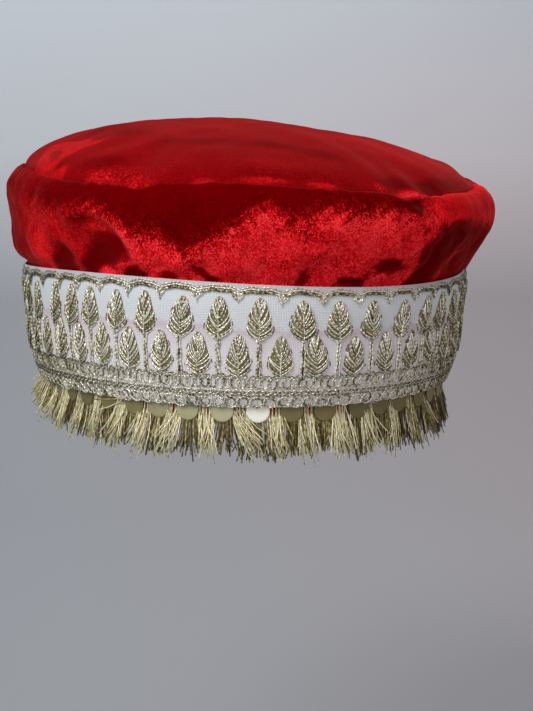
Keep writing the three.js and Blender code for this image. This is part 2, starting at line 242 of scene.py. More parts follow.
def on_ribbon(run, up, lift):
    """Point at a run along the ribbon, mm up from its foot and mm out from its face."""
    bearing, part = bearing_at(run), np.clip(up / RIBBON_HEIGHT, 0, 1)
    lean = lean_of(part)
    out, rise = lift / np.hypot(1, lean), lift * lean / np.hypot(1, lean)
    extra = up - part * RIBBON_HEIGHT
    inset = through(RIBBON_UP, RIBBON_INSET, part)
    return oval(bearing, out - inset, ribbon_level(bearing, part) + rise + extra)


def ribbon_out(run, up):
    """Outward direction of the ribbon's face."""
    out = unit(oval(bearing_at(run), 0, 0) / [BAND_HALF_WIDTH**2, BAND_HALF_DEPTH**2, 1])
    out[..., 2] = lean_of(np.clip(up / RIBBON_HEIGHT, 0, 1))
    return unit(out)


def seam_height(bearing):
    return compass(SEAM_HEIGHT, bearing) + sags(SEAM_SAGS, bearing) - sags(RIBBON_DIP, bearing)


def from_segment(here, start, end):
    """Where points lie from a segment: its span, the share along it, the gap and its length."""
    span = end - start
    share = np.clip((here - start) @ span / (span @ span), 0, 1)
    gap = here - start - share[..., None] * span
    return span, share, gap, np.hypot(gap[..., 0], gap[..., 1])


# Degrees of bearing and mm of rise as mm on the crown side
TO_MM = np.array([math.radians(1) * MEAN_RADIUS, 1])


def from_line(route, bearing, rise):
    """Signed distance in mm from a route on the crown side, and a fade towards its two ends."""
    here = np.stack(np.broadcast_arrays(bearing * MEAN_RADIUS, rise), -1)
    places = np.array(route) * TO_MM
    nearest = np.full(here.shape[:-1], np.inf)
    away, way = nearest.copy(), 0 * rise
    for i, (start, end) in enumerate(zip(places, places[1:])):
        span, share, gap, distance = from_segment(here, start, end)
        left = np.sign(span[0] * gap[..., 1] - span[1] * gap[..., 0])
        nearer = distance < nearest
        away, way = np.where(nearer, left * distance, away), np.where(nearer, i + share, way)
        nearest = np.where(nearer, distance, nearest)
    return away, np.clip(np.minimum(way, len(places) - 1 - way), 0, 1)


def line_folds(bearing, rise):
    """Height, and painted highlight and shade, that the sharp folds add to the crown side."""
    height, light = 0.0, 0.0
    for route, ridge, hollow, glow, gloom in SIDE_LINES:
        away, fade = from_line(route, bearing, rise)
        crest, crease = (
            fade * bell((away - middle) / LINE_REACH) for middle in (LINE_RIDGE, LINE_HOLLOW)
        )
        height = height + ridge * crest - hollow * crease
        light = light + glow * crest - gloom * crease
    return height, light


# Meshes from arrays


def skin(rings, joined=False):
    """Quads over rings of points, of one tube or many; joined closes last onto first."""
    index = np.arange(rings.size // 3).reshape(rings.shape[:-1])
    low = index if joined else index[..., :-1, :]
    high = np.roll(index, -1, -2) if joined else index[..., 1:, :]
    corners = [low, np.roll(low, -1, -1), np.roll(high, -1, -1), high]
    return rings.reshape(-1, 3), [np.stack(corners, -1).reshape(-1, 4)]


def threads(paths, outs, wide, thick, sides=5, ring=False):
    """Oval tubes along many paths (threads x points x 3); ring joins each to its start."""
    if ring:
        ahead = unit(np.roll(paths, -1, 1) - np.roll(paths, 1, 1))
    else:
        ahead = unit(np.gradient(paths, axis=1))
    across = unit(np.cross(outs, ahead))
    over = np.cross(ahead, across)
    angle = 2 * np.pi * (np.arange(sides) + 0.5) / sides
    wide, thick = (np.broadcast_to(x, paths.shape[:2])[..., None, None] for x in (wide, thick))
    tube = paths[:, :, None] + across[:, :, None] * np.cos(angle)[:, None] * wide
    tube = tube + over[:, :, None] * np.sin(angle)[:, None] * thick
    points, faces = skin(tube, ring)
    index = np.arange(len(points)).reshape(tube.shape[:3])
    return points, faces if ring else [*faces, index[:, 0, ::-1], index[:, -1]]


def slab(top, bottom):
    """Closed pad between two grids of points, both rows x columns x 3."""
    rows, cols = top.shape[:2]
    size = rows * cols
    index = np.arange(size).reshape(rows, cols)
    grid = np.stack([index[:-1, :-1], index[:-1, 1:], index[1:, 1:], index[1:, :-1]], -1)
    grid = grid.reshape(-1, 4)
    edge = np.concatenate([index[0], index[1:, -1], index[-1, -2::-1], index[-2:0:-1, 0]])
    after = np.roll(edge, -1)
    wall = np.stack([after, edge, edge + size, after + size], -1)
    points = np.concatenate([top.reshape(-1, 3), bottom.reshape(-1, 3)])
    return points, [grid, grid[:, ::-1] + size, wall]


def part(mesh, finish=0, **marks):
    """A mesh of points and face arrays, with one finish and marks on its points."""
    points, faces = mesh
    return points, [(face, finish) for face in faces], marks


def strands(paths, outs, wide, thick, tone, along, sides=5, ring=False, finish=0):
    """A part of threads that know their tone and the length along them."""
    marks = {"tone": tone, "along": along}
    marks = {key: np.repeat(np.broadcast_to(x, paths.shape[:2]), sides) for key, x in marks.items()}
    return part(threads(paths, outs, wide, thick, sides, ring), finish, **marks)


def shape(name, parts, finishes):
    """One object from parts: points in mm, (faces, finish number) pairs, marks on the points."""
    faces, kinds, size = [], [], 0
    marks = {key: [] for _, _, known in parts for key in known}
    for points, groups, known in parts:
        for group, kind in groups:
            faces += (group + size).tolist()
            kinds += [kind] * len(group)
        for key in marks:
            marks[key].append(np.broadcast_to(known.get(key, 0.0), len(points)))
        size += len(points)
    mesh = bpy.data.meshes.new(name)
    mesh.from_pydata(np.concatenate([points for points, _, _ in parts]) * MM, [], faces)
    mesh.polygons.foreach_set("material_index", kinds)
    mesh.polygons.foreach_set("use_smooth", np.ones(len(kinds), bool))
    for key, values in marks.items():
        mark = mesh.attributes.new(key, "FLOAT", "POINT")
        mark.data.foreach_set("value", np.concatenate(values).astype(np.float32))
    for finish in finishes:
        mesh.materials.append(finish)
    made = bpy.data.objects.new(name, mesh)
    bpy.context.scene.collection.objects.link(made)
    return made


def piece(name, parts, finishes, replaces=()):
    made = shape(name, parts, finishes)
    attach(made, "root")
    if replaces:
        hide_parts(*replaces)
    return made


# Finishes


def linear(colour):
    """sRGB hex value as linear red, green, blue and alpha."""
    parts = (int(colour[i : i + 2], 16) / 255 for i in (1, 3, 5))
    return [*(c / 12.92 if c <= 0.04045 else ((c + 0.055) / 1.055) ** 2.4 for c in parts), 1.0]


def finish(name, settings):
    """A new material, and the place on the object that its patterns start from."""
    made = bpy.data.materials.new(name)
    made.use_nodes = True
    for socket, value in settings.items():
        made.node_tree.nodes["Principled BSDF"].inputs[socket].default_value = value
    return made, add(made, "TexCoord", {}, "Object")


def add(made, kind, settings, out=0):
    """Adds a node, sets or links the sockets named in settings, and gives one of its outputs."""
    tree = made.node_tree
    node = tree.nodes.new("ShaderNode" + kind)
    for name, value in settings.items():
        if name == "stops":
            steps = node.color_ramp.elements
            while len(steps) < len(value):
                steps.new(1.0)
            for step, (place, colour) in zip(steps, value):
                step.position, step.color = place, linear(colour)
        elif isinstance(value, bpy.types.NodeSocket):
            tree.links.new(value, node.inputs[name])
        elif isinstance(name, int) or name in node.inputs:
            node.inputs[name].default_value = value
        else:
            setattr(node, name, value)
    return node.outputs[out]


def join(made, links):
    """Links outputs to sockets of the material's shader."""
    shader = made.node_tree.nodes["Principled BSDF"]
    for socket, source in links.items():
        made.node_tree.links.new(source, shader.inputs[socket])
    return made


def mark(made, name):
    return add(made, "Attribute", {"attribute_name": name}, "Fac")


def noise(made, place, size_mm, detail=2.0, **more):
    known = {"Vector": place, "Scale": 1 / (size_mm * MM), "Detail": detail}
    return add(made, "TexNoise", {**known, **more}, "Fac")


def bands(made, place, length, direction, distortion):
    """Bands across a direction. One is as long as given, in the units of the place."""
    return add(made, "TexWave", {
        "bands_direction": direction, "Vector": place, "Scale": 0.314 / length,
        "Distortion": distortion,
    }, "Fac")


def plus(made, value, share, other):
    """A share of one value added to another."""
    return add(made, "Math", {"operation": "MULTIPLY_ADD", 0: value, 1: share, 2: other})


def remap(made, value, start, end, low, high):
    return add(made, "MapRange", {
        "Value": value, "From Min": start, "From Max": end, "To Min": low, "To Max": high,
    })


def ramp(made, value, *stops):
    return add(made, "ValToRGB", {"stops": stops, 0: value})


def relief(made, height, strength, depth_mm):
    return add(made, "Bump", {"Strength": strength, "Distance": depth_mm * MM, "Height": height})


def crimson_velvet():
    # Cut-pile rayon velvet, crushed by hand. Its base colour holds painted light and shade: deep
    # where the eye looks into the pile, bright where the pile lies over, painted shade in hollows
    # and folds, and small upright flecks, partly crushed texture and partly painted glints; a dusty
    # red sheen
    fleck_mm, mottle_mm, drift_mm, pile_mm = 0.45, 2.0, 9.0, 0.5  # real tufts are about 0.1 mm
    level_fleck = 1.19  # the sum of the patterns that leaves the painted light of the pile as it is
    made, place = finish("crimson_cut_pile_velvet", {
        "Roughness": 0.7, "Specular IOR Level": 0.0,
        "Sheen Weight": 0.3, "Sheen Roughness": 0.35, "Sheen Tint": linear("#ff6866"),
    })
    upright = add(made, "VectorMath", {"operation": "MULTIPLY", 0: place, 1: (1.0, 1.0, 0.8)})
    tuft = add(made, "TexVoronoi", {"Vector": upright, "Scale": 1 / (fleck_mm * MM)}, "Color")
    painted_glint = add(made, "Math", {"operation": "POWER", 0: tuft, 1: 2.0})
    mottle = noise(made, upright, mottle_mm, 5.0, Roughness=0.7, Distortion=0.5)
    both = plus(made, noise(made, place, drift_mm, 3.0), 0.8, plus(made, mottle, 1.0, painted_glint))
    spare = add(made, "Math", {"operation": "SUBTRACT", 0: both, 1: level_fleck})
    flecked = plus(made, spare, mark(made, "crush"), mark(made, "lay"))
    tint = ramp(
        made, flecked, (0.0, "#5a0002"), (0.15, "#6c0003"), (0.38, "#92080d"), (0.55, "#c01016"),
        (0.72, "#ea1c23"), (0.88, "#fb2a32"), (1.0, "#ff4048"),
    )
    pile = relief(made, noise(made, place, pile_mm), 0.3, 0.3)
    return join(made, {"Base Color": tint, "Normal": pile})


def velvet_back():
    # The woven back of the velvet, inside the cap: flat, dull and a little darker, in soft ribs
    rib_mm = 5.024
    made, place = finish("velvet_woven_back", {"Roughness": 0.9, "Specular IOR Level": 0.2})
    rib = bands(made, place, rib_mm * MM, "Z", 1.2)
    tint = ramp(made, rib, (0.0, "#4c070b"), (1.0, "#6f1116"))
    return join(made, {"Base Color": tint, "Normal": relief(made, rib, 0.3, 0.2)})


def ivory_ribbon():
    # Woven viscose ribbon with a low satin shine: cool white above a faint woven line,
    # stained a pale pinkish lilac below it where red thread has run, painted lighter at its foot as
    # painted light against the shade there, and greyer along its top strip
    yarn_mm, stain_mm, grain_mm = 0.6, 5.0, 0.45  # yarns drawn about twice as wide as real ones
    grey_from, grey_to = 0.93, 0.955  # shares of the way up
    made, place = finish("ivory_woven_ribbon", {
        "Roughness": 0.5, "Specular IOR Level": 0.3, "Sheen Weight": 0.1, "Sheen Roughness": 0.4,
    })
    up, run = mark(made, "up"), mark(made, "run")
    tint = ramp(
        made, plus(made, noise(made, place, stain_mm, 3.0), 0.16, up),
        (0.0, "#f4f4f6"), (0.3, "#eeebf0"), (0.52, "#e6e3e9"), (0.66, "#e0d9e1"),
        (0.71, "#d6c9d3"), (0.75, "#e0e4ea"), (1.0, "#e5eaef"),
    )
    flat = add(made, "CombineXYZ", {"X": run, "Y": up})
    weft = bands(made, flat, yarn_mm, "X", 1.5)
    warp = bands(made, flat, yarn_mm / RIBBON_HEIGHT, "Y", 0.8)
    weave = add(made, "Math", {"operation": "ADD", 0: weft, 1: warp})
    grain = plus(made, noise(made, place, grain_mm), 2.0, weave)
    shade = remap(made, grain, 0.0, 4.0, 0.7, 1.2)
    worn = remap(made, up, grey_from, grey_to, 1.0, 0.72)
    dimmed = add(made, "Math", {"operation": "MULTIPLY", 0: shade, 1: worn})
    toned = add(made, "VectorMath", {"operation": "SCALE", 0: tint, "Scale": dimmed})
    return join(made, {"Base Color": toned, "Normal": relief(made, weave, 0.3, 0.15)})


def metal_thread(name, colours, roughness, metallic, twist_mm, painted_glint):
    # Gilt thread: fine flattened wire wound round a core, with painted glints in short dashes
    # along its twist and olive brown between them
    wear_mm = 1.3
    made, place = finish(name, {"Metallic": metallic, "Roughness": roughness})
    line = add(made, "CombineXYZ", {"X": mark(made, "along")})
    wound = bands(made, line, twist_mm, "X", 0.4)
    worn = plus(
        made, noise(made, place, wear_mm), 0.6, plus(made, wound, painted_glint, mark(made, "tone"))
    )
    tint = ramp(made, worn, *zip((0.25, 0.65, 1.0), colours))
    return join(made, {"Base Color": tint, "Normal": relief(made, wound, 0.7, 0.2)})


def leaf_bed():
    # Olive padding under the gilt strands of a leaf, grainy and half matt, dark so that the gaps
    # between the strands hold painted shade
    grain_mm = 0.5
    made, place = finish("olive_bed_painted_shade", {"Metallic": 0.1, "Roughness": 0.6})
    grain = noise(made, place, grain_mm, 3.0)
    tint = ramp(made, grain, (0.36, "#3c351c"), (0.64, "#aaa176"))
    return join(made, {"Base Color": tint, "Normal": relief(made, grain, 0.6, 0.3)})


def red_thread():
    # Dull crimson cotton that peeps out along the edges of the leaves
    grain_mm = 0.8
    made, place = finish("crimson_cotton_thread", {"Roughness": 0.8})
    tint = ramp(made, noise(made, place, grain_mm), (0.35, "#5c1024"), (0.65, "#94304a"))
    return join(made, {"Base Color": tint})


def coin_brass():
    # Stamped brass, matt lacquered: satin discs that vary from olive to pale cream, the palest end
    # a painted reflection
    scratch_mm, cloud_mm = 0.5, 3.0
    made, place = finish("satin_lacquered_brass", {"Metallic": 0.12})
    tint = ramp(
        made, plus(made, noise(made, place, cloud_mm, 3.0), 0.12, mark(made, "tone")),
        (0.1, "#6a6036"), (0.3, "#8a8054"), (0.55, "#b4b08a"), (0.7, "#c6c3a0"), (1.0, "#fffdf2"),
    )
    scuff = noise(made, place, scratch_mm, 4.0)
    dull = remap(made, scuff, 0.0, 1.0, 0.36, 0.52)
    marred = relief(made, scuff, 0.12, 0.1)
    return join(made, {"Base Color": tint, "Roughness": dull, "Normal": marred})


VELVET, VELVET_BACK, RIBBON = crimson_velvet(), velvet_back(), ivory_ribbon()
ZARI = metal_thread(
    "gilt_zari_thread", ("#3f381b", "#a1976a", "#fffbee"),
    roughness=0.28, metallic=0.55, twist_mm=1.6, painted_glint=0.36,
)
FRINGE = metal_thread(
    "gilt_lurex_fringe", ("#523e20", "#a09255", "#f3ebc4"),
    roughness=0.36, metallic=0.3, twist_mm=2.4, painted_glint=0.2,
)
BED, RED_THREAD, BRASS = leaf_bed(), red_thread(), coin_brass()

# Painted light and shade of the velvet's pile, in its base colour. Lightness goes from 0, where the
# eye looks into the pile or lies in painted shade, to 1

SIDE_LIGHT, DARK_BAND_LIGHT, HOLE_SHADE, LEAST_LIGHT = 0.72, 0.12, 0.03, 0.04
# Painted light and shade on the crown side, for the lie of the pile and small shaded hollows:
# bearing, rise, reach along, reach up, slant, lightness added
SIDE_PAINTED_PILE = [
    (-56, 15, 22, 16, 0, -0.24), (-46.4, 1.2, 5, 2, 0, 0.4), (-66, 8, 7, 7, 0, 0.1),
    (-82, 0.5, 12, 3, 0, -0.2), (-29.6, 1.2, 4.2, 1.9, 0, -0.55), (-21.4, 3.2, 3.2, 2.6, -1, -0.55),
    (-18.8, 0.9, 3, 1.3, 0, -0.5), (-21.8, 7.5, 3.4, 0.9, 0, -0.3), (28, 7, 3.2, 1.5, 0, -0.3),
    (17.3, 3.8, 3, 2.2, 0.8, -0.28), (31.2, 20.6, 2.4, 1.6, 0.8, -0.4),
    (5.5, 18.7, 10, 2.6, 0, -0.2), (16, 19, 14, 8, 0, 0.06), (-3.4, 7.5, 5, 2.4, 0, -0.16),
    (84, 6, 10, 6, 0.2, -0.4), (104, 18, 14, 6, -0.4, 0.1), (122, 8, 10, 7, 0.2, -0.5),
    (146, 15, 12, 6, 0.3, 0.1), (168, 5, 8, 5, 0, -0.4), (-165, 17, 14, 6, -0.2, 0.1),
    (-148, 7, 9, 7, -0.3, -0.5), (-126, 15, 12, 7, 0.3, 0.1), (-105, 5, 8, 5, 0, -0.4),
]
# Parts of the side with an even level of painted light and fewer flecks: lightness, share of the
# flecks lost, and where
SIDE_ROLLS = [(0.2, 0.55, (-92, 20, 36, 60, 0, 1)), (0.56, 0.75, (54, 29.5, 35, 7.5, 0, 1))]
CALM_SHARE, CALM_PATCH = 0.4, (-60, 14, 34, 19, 0, 1)
# Hollows in painted shade: lightness, softness of the edge in mm, outline of (bearing, rise)
SIDE_HOLLOWS = [
    (0.13, 2.2, [(-54, -2), (-53, 4), (-51.6, 7.6), (-48.6, 12), (-44.5, 14.8), (-41.8, 15.2),
     (-39.3, 13.2), (-38.4, 9.4), (-39.7, 6.2), (-43.8, 3), (-47.6, 2.6), (-49.4, -2)]),
    (0.14, 1.8, [(-66, -2), (-62.8, 6.4), (-60, 10), (-57.1, 10.3), (-55.4, 7.6), (-56.6, -2)]),
    (0.1, 1.0, [(-42, -0.5), (-39.5, 3), (-36.5, 4.5), (-34.8, -0.5)]),
    (0.1, 1.4, [(19, 7.3), (20.4, 9.4), (23.2, 10.8), (26.6, 9.6), (27.2, 6.2), (24.2, 4.6),
     (21, 5.6)]),
    (0.1, 1.0, [(9.6, 0.6), (11, 3.5), (14.5, 3.5), (17.8, 2.8), (17.6, 0)]),
    (0.2, 1.0, [(0.4, 0), (1.2, 4.5), (2.6, 6.5), (3.5, 3.1), (2.8, 0)]),
    (0.17, 3.2, [(38, 23.4), (48.4, 22.6), (61, 19.6), (67, 18), (82, 15), (82, -3), (29, -3),
     (30.4, 1.1), (32.2, 3.3), (32.4, 6.6), (31.4, 9.7), (30.8, 13.1), (31.2, 16.5), (33.6, 19.4),
     (34, 21.6)]),
    (0.03, 2.2, [(37, 21.6), (41, 23), (48.4, 22.4), (51, 20.8), (51.6, 17.7), (52.4, 13.6),
     (48.4, 12.6), (42, 11), (36.4, 7), (33.8, 9), (33.4, 13), (34.6, 16.6)]),
    (0.05, 2.0, [(31.6, 0.5), (33.4, 4), (35.4, 7.4), (37.6, 6.8), (39.4, 4), (38, 0.5)]),
]
# Painted glints inside the hollow on the right, and painted light and shade close under the crown
# seam, in the same columns as the marks
SEAM_PAINTED_PILE = [
    (47, 9.5, 3, 1.5, 4.4, 0.5), (53, 2.6, 16, 3.2, 0, 0.1), (43.6, 2.3, 3.2, 2.4, 0.8, 0.34),
    (33, 25.5, 4, 2.5, 0.5, -0.1), (70, 33, 14, 3, 0, 0.08),
]
# Band of painted shade on the pile under the crown seam: bearing, rise of its lower edge, strength
DARK_EDGE = [
    (-180, 24, 1), (-150, 21, 1), (-120, 25, 1), (-95, 24, 0.8), (-74, 26, 0.6), (-66, 24, 0.8),
    (-60, 23.5, 0.9), (-54, 23.8, 1), (-45, 24.4, 1), (-41, 22, 1), (-39, 19.4, 1),
    (-36.8, 16.3, 1), (-34, 17, 1), (-31.2, 16.6, 1), (-29.3, 14.5, 1), (-26.7, 10.8, 1),
    (-24.5, 10, 1), (-22.4, 11.8, 1), (-19.8, 14.5, 1), (-17, 17.6, 1), (-13, 21.8, 1),
    (-9.7, 26, 1), (-5.3, 27.5, 1), (-2.7, 24.4, 1), (0.6, 24.4, 1), (3.9, 27.2, 1), (8, 28.2, 1),
    (18, 27.6, 1), (24, 27.6, 0.9), (29, 27.8, 0.6), (33, 28.5, 0.25), (37, 29, 0), (78, 29, 0),
    (95, 26, 1), (120, 22, 1), (150, 26, 1), (180, 24, 1),
]
EDGE_WANDER, EDGE_SOFT, FRAYED, FRAY_REACH = 1.9, 10.0, 0.45, 5.0
# Flecks of the side: the least, how much more on light pile, and where it starts to be light
FLECKS_LEAST, FLECKS_MORE, LIVELY_FROM, LIVELY_OVER = 0.1, 0.58, 0.1, 0.45
# Small hole of painted shadow where the right end of the seam tucks in, as an outline of
# (bearing, rise)
SEAM_HOLE = [(25.2, 31.2), (30.6, 32.4), (32.2, 29.6), (29.4, 26.6), (26.6, 28)]
# Painted light of the tip: its level, its flecks, and the strength of its soft painted streaks
TIP_LIGHT, TIP_CRUSH, STREAK = 0.31, 0.15, 0.022
# Painted light and shade on the tip: x, y, reach across, reach along, turn in degrees, lightness
# and flecks added
TIP_PAINTED_PILE = [
    (-59, -82, 19, 5.5, -46, 0.08, 0.3), (-55, -90, 6, 3.2, -48, 0.16, 0.2),
    (-67, -75, 6, 2.2, -42, 0.12, 0.2), (-57, -60, 16, 4, -8, 0.07, 0),
    (-65, -67, 11, 4, -42, -0.12, 0), (-51, -34, 8, 15, 0, -0.14, 0), (-56, -4, 8, 14, 0, -0.1, 0),
    (-26, -73, 20, 6, -31, -0.14, 0), (7, -85, 18, 5, -21, -0.15, 0), (45, -92, 14, 4, 38, -0.2, 0),
    (60, -80.5, 13, 4, 45, -0.24, 0), (74, -64, 13, 4, 58, -0.2, 0),
    (-4, -99, 16, 4, 0, 0.04, 0.06), (0, -107.5, 22, 3, 0, -0.06, 0.1),
    (52, -68, 24, 8, 42, 0.07, 0), (-12, -110.5, 10, 1.3, -6, 0.2, 0.2),
    (9.5, -111.3, 6, 1.2, 5, 0.24, 0.2), (33.5, -103.5, 3, 2, 25, 0.2, 0.3),
    (-33, -105.5, 5, 1.4, -20, 0.18, 0.2), (46.5, -98, 8.5, 3, 31, 0.56, 0.4),
    (-18, -38, 26, 12, -5, 0.05, 0), (30, -60, 26, 12, -10, 0.07, 0), (52, -44, 22, 14, 0, 0.1, 0),
    (0, 40, 50, 40, 0, 0.11, 0), (-50, 60, 22, 20, 40, -0.1, 0), (55, 45, 24, 30, -30, 0.14, 0),
]
# Patches of the tip where the pile is brushed the other way, painted to their own level of light,
# in the columns of the hollows with outlines of (x, y)
TIP_BRUSHED_LIGHT = [
    (0.53, 1.0, [(-92, -30), (-87, -27.6), (-82, -2.6), (-77.9, 4.2), (-71.9, 0.4), (-66, -10),
     (-66.5, -40), (-61, -44), (-62.6, -46.5), (-71.2, -45.5), (-78.6, -46.8), (-82, -48.6),
     (-76.6, -54.9), (-78, -58), (-82, -61), (-92, -48)]),
    (0.3, 1.0, [(-82.2, -33.6), (-79, -9.7), (-76.4, -12.6), (-77.5, -38.5), (-80.2, -43),
     (-82.1, -40.4)]),
]


def ruffle(across, up):
    """Uneven wander of a mark's edge, about a millimetre each way."""
    slow = np.sin(0.9 * across + 1.7 * np.sin(0.6 * up)) + np.sin(1.4 * up - 0.7 * across + 1)
    fine = 0.3 * np.sin(2.1 * across + 1.3 * up + 2) + 0.2 * np.sin(3.1 * up - 2.3 * across)
    return 0.4 * slow + fine


def within(outline, across, up, soft):
    """1 inside a closed outline and 0 outside it, with an uneven edge of a softness in mm."""
    here, places = np.stack(np.broadcast_arrays(across, up), -1), np.array(outline, float)
    nearest, inside = np.full(here.shape[:-1], np.inf), np.zeros(here.shape[:-1], bool)
    for start, end in zip(places, np.roll(places, -1, 0)):
        span, _, _, distance = from_segment(here, start, end)
        nearest = np.minimum(nearest, distance)
        if start[1] != end[1]:
            crossing = start[0] + span[0] * (here[..., 1] - start[1]) / span[1]
            between = (start[1] > here[..., 1]) != (end[1] > here[..., 1])
            inside ^= between & (here[..., 0] < crossing)
    depth = np.where(inside, nearest, -nearest) + 0.6 * soft**0.5 * ruffle(across, up)
    return eased(0.5 + depth / (2 * soft))


def painted_side_light(bearing, rise, folded):
    """Painted light and shade of the pile on the crown side, and how strongly it is flecked."""
    across = bearing * MEAN_RADIUS
    edge, strength = columns(DARK_EDGE, np.degrees(bearing))
    edge = edge + EDGE_WANDER * ruffle(across, rise)
    lay = SIDE_LIGHT + swells(SIDE_PAINTED_PILE, bearing, rise, crisp=2) + folded
    lay = toward(lay, DARK_BAND_LIGHT, eased((rise - edge) / EDGE_SOFT + 0.5) * strength)
    kept = 1 - CALM_SHARE * swells([CALM_PATCH], bearing, rise, crisp=2)
    for level, lost, patch in SIDE_ROLLS:
        roll = swells([patch], bearing, rise, crisp=2)
        lay, kept = toward(lay, level, roll), kept * (1 - lost * roll)
    for level, soft, outline in SIDE_HOLLOWS:
        lay = toward(lay, level, within(np.array(outline) * TO_MM, across, rise, soft))
    hole = within(np.array(SEAM_HOLE) * TO_MM, across, rise, 1.0)
    lay = toward(lay + swells(SEAM_PAINTED_PILE, bearing, rise, crisp=2), HOLE_SHADE, hole)
    frayed = FRAYED * strength * bell((rise - edge) / FRAY_REACH)
    lively = np.clip((lay - LIVELY_FROM) / LIVELY_OVER, 0, 1)
    crush = (FLECKS_LEAST + FLECKS_MORE * lively + frayed) * kept * (1 - 0.8 * hole)
    return np.clip(lay, LEAST_LIGHT, 1), crush


def painted_tip_light(points):
    """Painted light and shade of the pile on the tip, and how strongly it is flecked."""
    x, y = points[..., 0], points[..., 1]
    lay, crush = np.full(x.shape, TIP_LIGHT), np.full(x.shape, TIP_CRUSH)
    for across, along, wide, deep, turn, amount, flecks in TIP_PAINTED_PILE:
        c, s = math.cos(math.radians(turn)), math.sin(math.radians(turn))
        dx, dy = x - across, y - along
        patch = bell(((c * dx + s * dy) / wide) ** 2 + ((c * dy - s * dx) / deep) ** 2)
        lay, crush = lay + amount * patch, crush + flecks * patch
    bowed = y - x**2 / 450
    streaks = np.sin(bowed / 2.9 + 2 * np.sin(x / 19))
    streaks += 0.8 * np.sin(bowed / 5.3 - 1.3 * np.sin(x / 27 + 2))
    lay = lay + STREAK * streaks * (0.6 + 0.4 * np.sin(x / 11 + y / 23))
    for level, soft, outline in TIP_BRUSHED_LIGHT:
        brushed_light = within(outline, x, y, soft)
        lay, crush = toward(lay, level, brushed_light), crush + 0.1 * brushed_light
    return np.clip(lay, LEAST_LIGHT, 1), crush


# Velvet crown

AROUND, WALL_ROWS, ROLL_ROWS, TIP_ROWS, RIBBON_ROWS = 560, 10, 84, 72, 24
INNER_STEP = 3  # the inside has a row for every third one outside
TURNS = np.linspace(-np.pi, np.pi, AROUND, endpoint=False)
WALL_FROM = 0.28  # share of the ribbon's height where the velvet starts to follow it
EDGE_THICK, HEM_REACH, SEAM_REACH = 0.45, 3.0, 6.0  # the panel thins towards its two edges
SEAM_PUCKER, SEAM_PUCKER_AT, SEAM_PUCKER_REACH = 0.3, 0.985, 2.6
TIP_CROWD, TIP_DIP, TIP_DIP_REACH, TIP_DIP_START = 1.9, 0.35, 0.045, 0.004
# Turned edge of the tip, down inside the seam: how much wider and lower
ROLLED, ALLOWANCE = (1.003, 0.5), (1.018, 3.4)


def puckers(count, wander, slow, lulls, phase=0.0):
    """Uneven puckers of the seam's stitches, between -1 and 1."""
    stitches = np.sin(count * TURNS + wander * np.sin(slow * TURNS))
    return stitches * (0.5 + 0.5 * np.sin(lulls * TURNS + phase))


def velvet_side():
    """Side panel: hem, the straight wall behind the ribbon, and the puffed roll above it."""
    height, top = seam_height(TURNS), ribbon_top(TURNS)
    wall = [row for row in zip(RIBBON_UP, RIBBON_INSET) if WALL_FROM <= row[0] < 1]
    rows = [(-HEM_INSET, 0, 0), (-HEM_INSET, HEM_HEIGHT, 0)]
    rows += [(-inset - RIBBON_THICK - GAP, ribbon_level(TURNS, up), 0) for up, inset in wall]
    waist = len(rows)
    for rise, *puff, give in PUFF_ROWS:
        rows.append((compass(puff, TURNS), top + rise * height / SEAM_RISE, give))
    rows = np.array([[np.broadcast_to(x, AROUND) for x in row] for row in rows], float)
    steps = np.diff(rows[:, :2].mean(2), axis=0)
    knots = np.concatenate([[0], np.cumsum(np.hypot(*steps.T))])
    low = np.linspace(0, knots[waist], WALL_ROWS, endpoint=False)
    at = np.concatenate([low, np.linspace(knots[waist], knots[-1], ROLL_ROWS)])
    offset, level, give = np.moveaxis(through(knots, rows, at), 1, 0)
    rise = level - top
    lines, light = line_folds(TURNS, rise)
    fold = swells(SIDE_FOLDS + SIDE_CREASES, TURNS, rise) + lines
    gather = bell((rise - GATHER_RISE) / GATHER_REACH)
    fold = fold + GATHER_DEPTH * gather * np.cos(GATHERS * TURNS)
    for count, wave, phase, depth in SIDE_RIPPLES:
        bent = RIPPLE_BEND * np.sin(2 * np.pi * rise / wave + phase)
        fold = fold + depth * np.sin(count * TURNS + phase + bent)
    offset = offset + np.clip(give, 0, 1) * fold + swells(EAR_TUCK, TURNS, rise)
    at_seam = bell((rise - height * SEAM_PUCKER_AT) / SEAM_PUCKER_REACH)
    level = level - swells(DROOPS, TURNS, rise) + SEAM_PUCKER * puckers(71, 2, 9, 13) * at_seam
    run_out, run_up = np.gradient(offset, axis=0), np.gradient(level, axis=0)
    ends = np.minimum(at / HEM_REACH, (knots[-1] - at) / SEAM_REACH)
    thick = VELVET_THICK * np.clip(EDGE_THICK + (1 - EDGE_THICK) * ends, EDGE_THICK, 1)
    thick = thick[:, None] / np.hypot(run_out, run_up)
    outer = oval(TURNS, offset, level)
    inner = oval(TURNS, offset - thick * run_up, level + thick * run_out)[::-INNER_STEP]
    points, (quads,) = skin(np.concatenate([outer, inner]), joined=True)
    unseen = np.zeros(len(inner) * AROUND)
    lay, crush = (np.append(seen, unseen) for seen in painted_side_light(TURNS, rise, light))
    row = np.arange(len(quads)) // AROUND
    inside = (row >= len(at)) & (row < row[-1])
    made = (points, [(quads[~inside], 0), (quads[inside], 1)], {"lay": lay, "crush": crush})
    return piece("velvet_side", [made], [VELVET, VELVET_BACK], ["crown_side"])


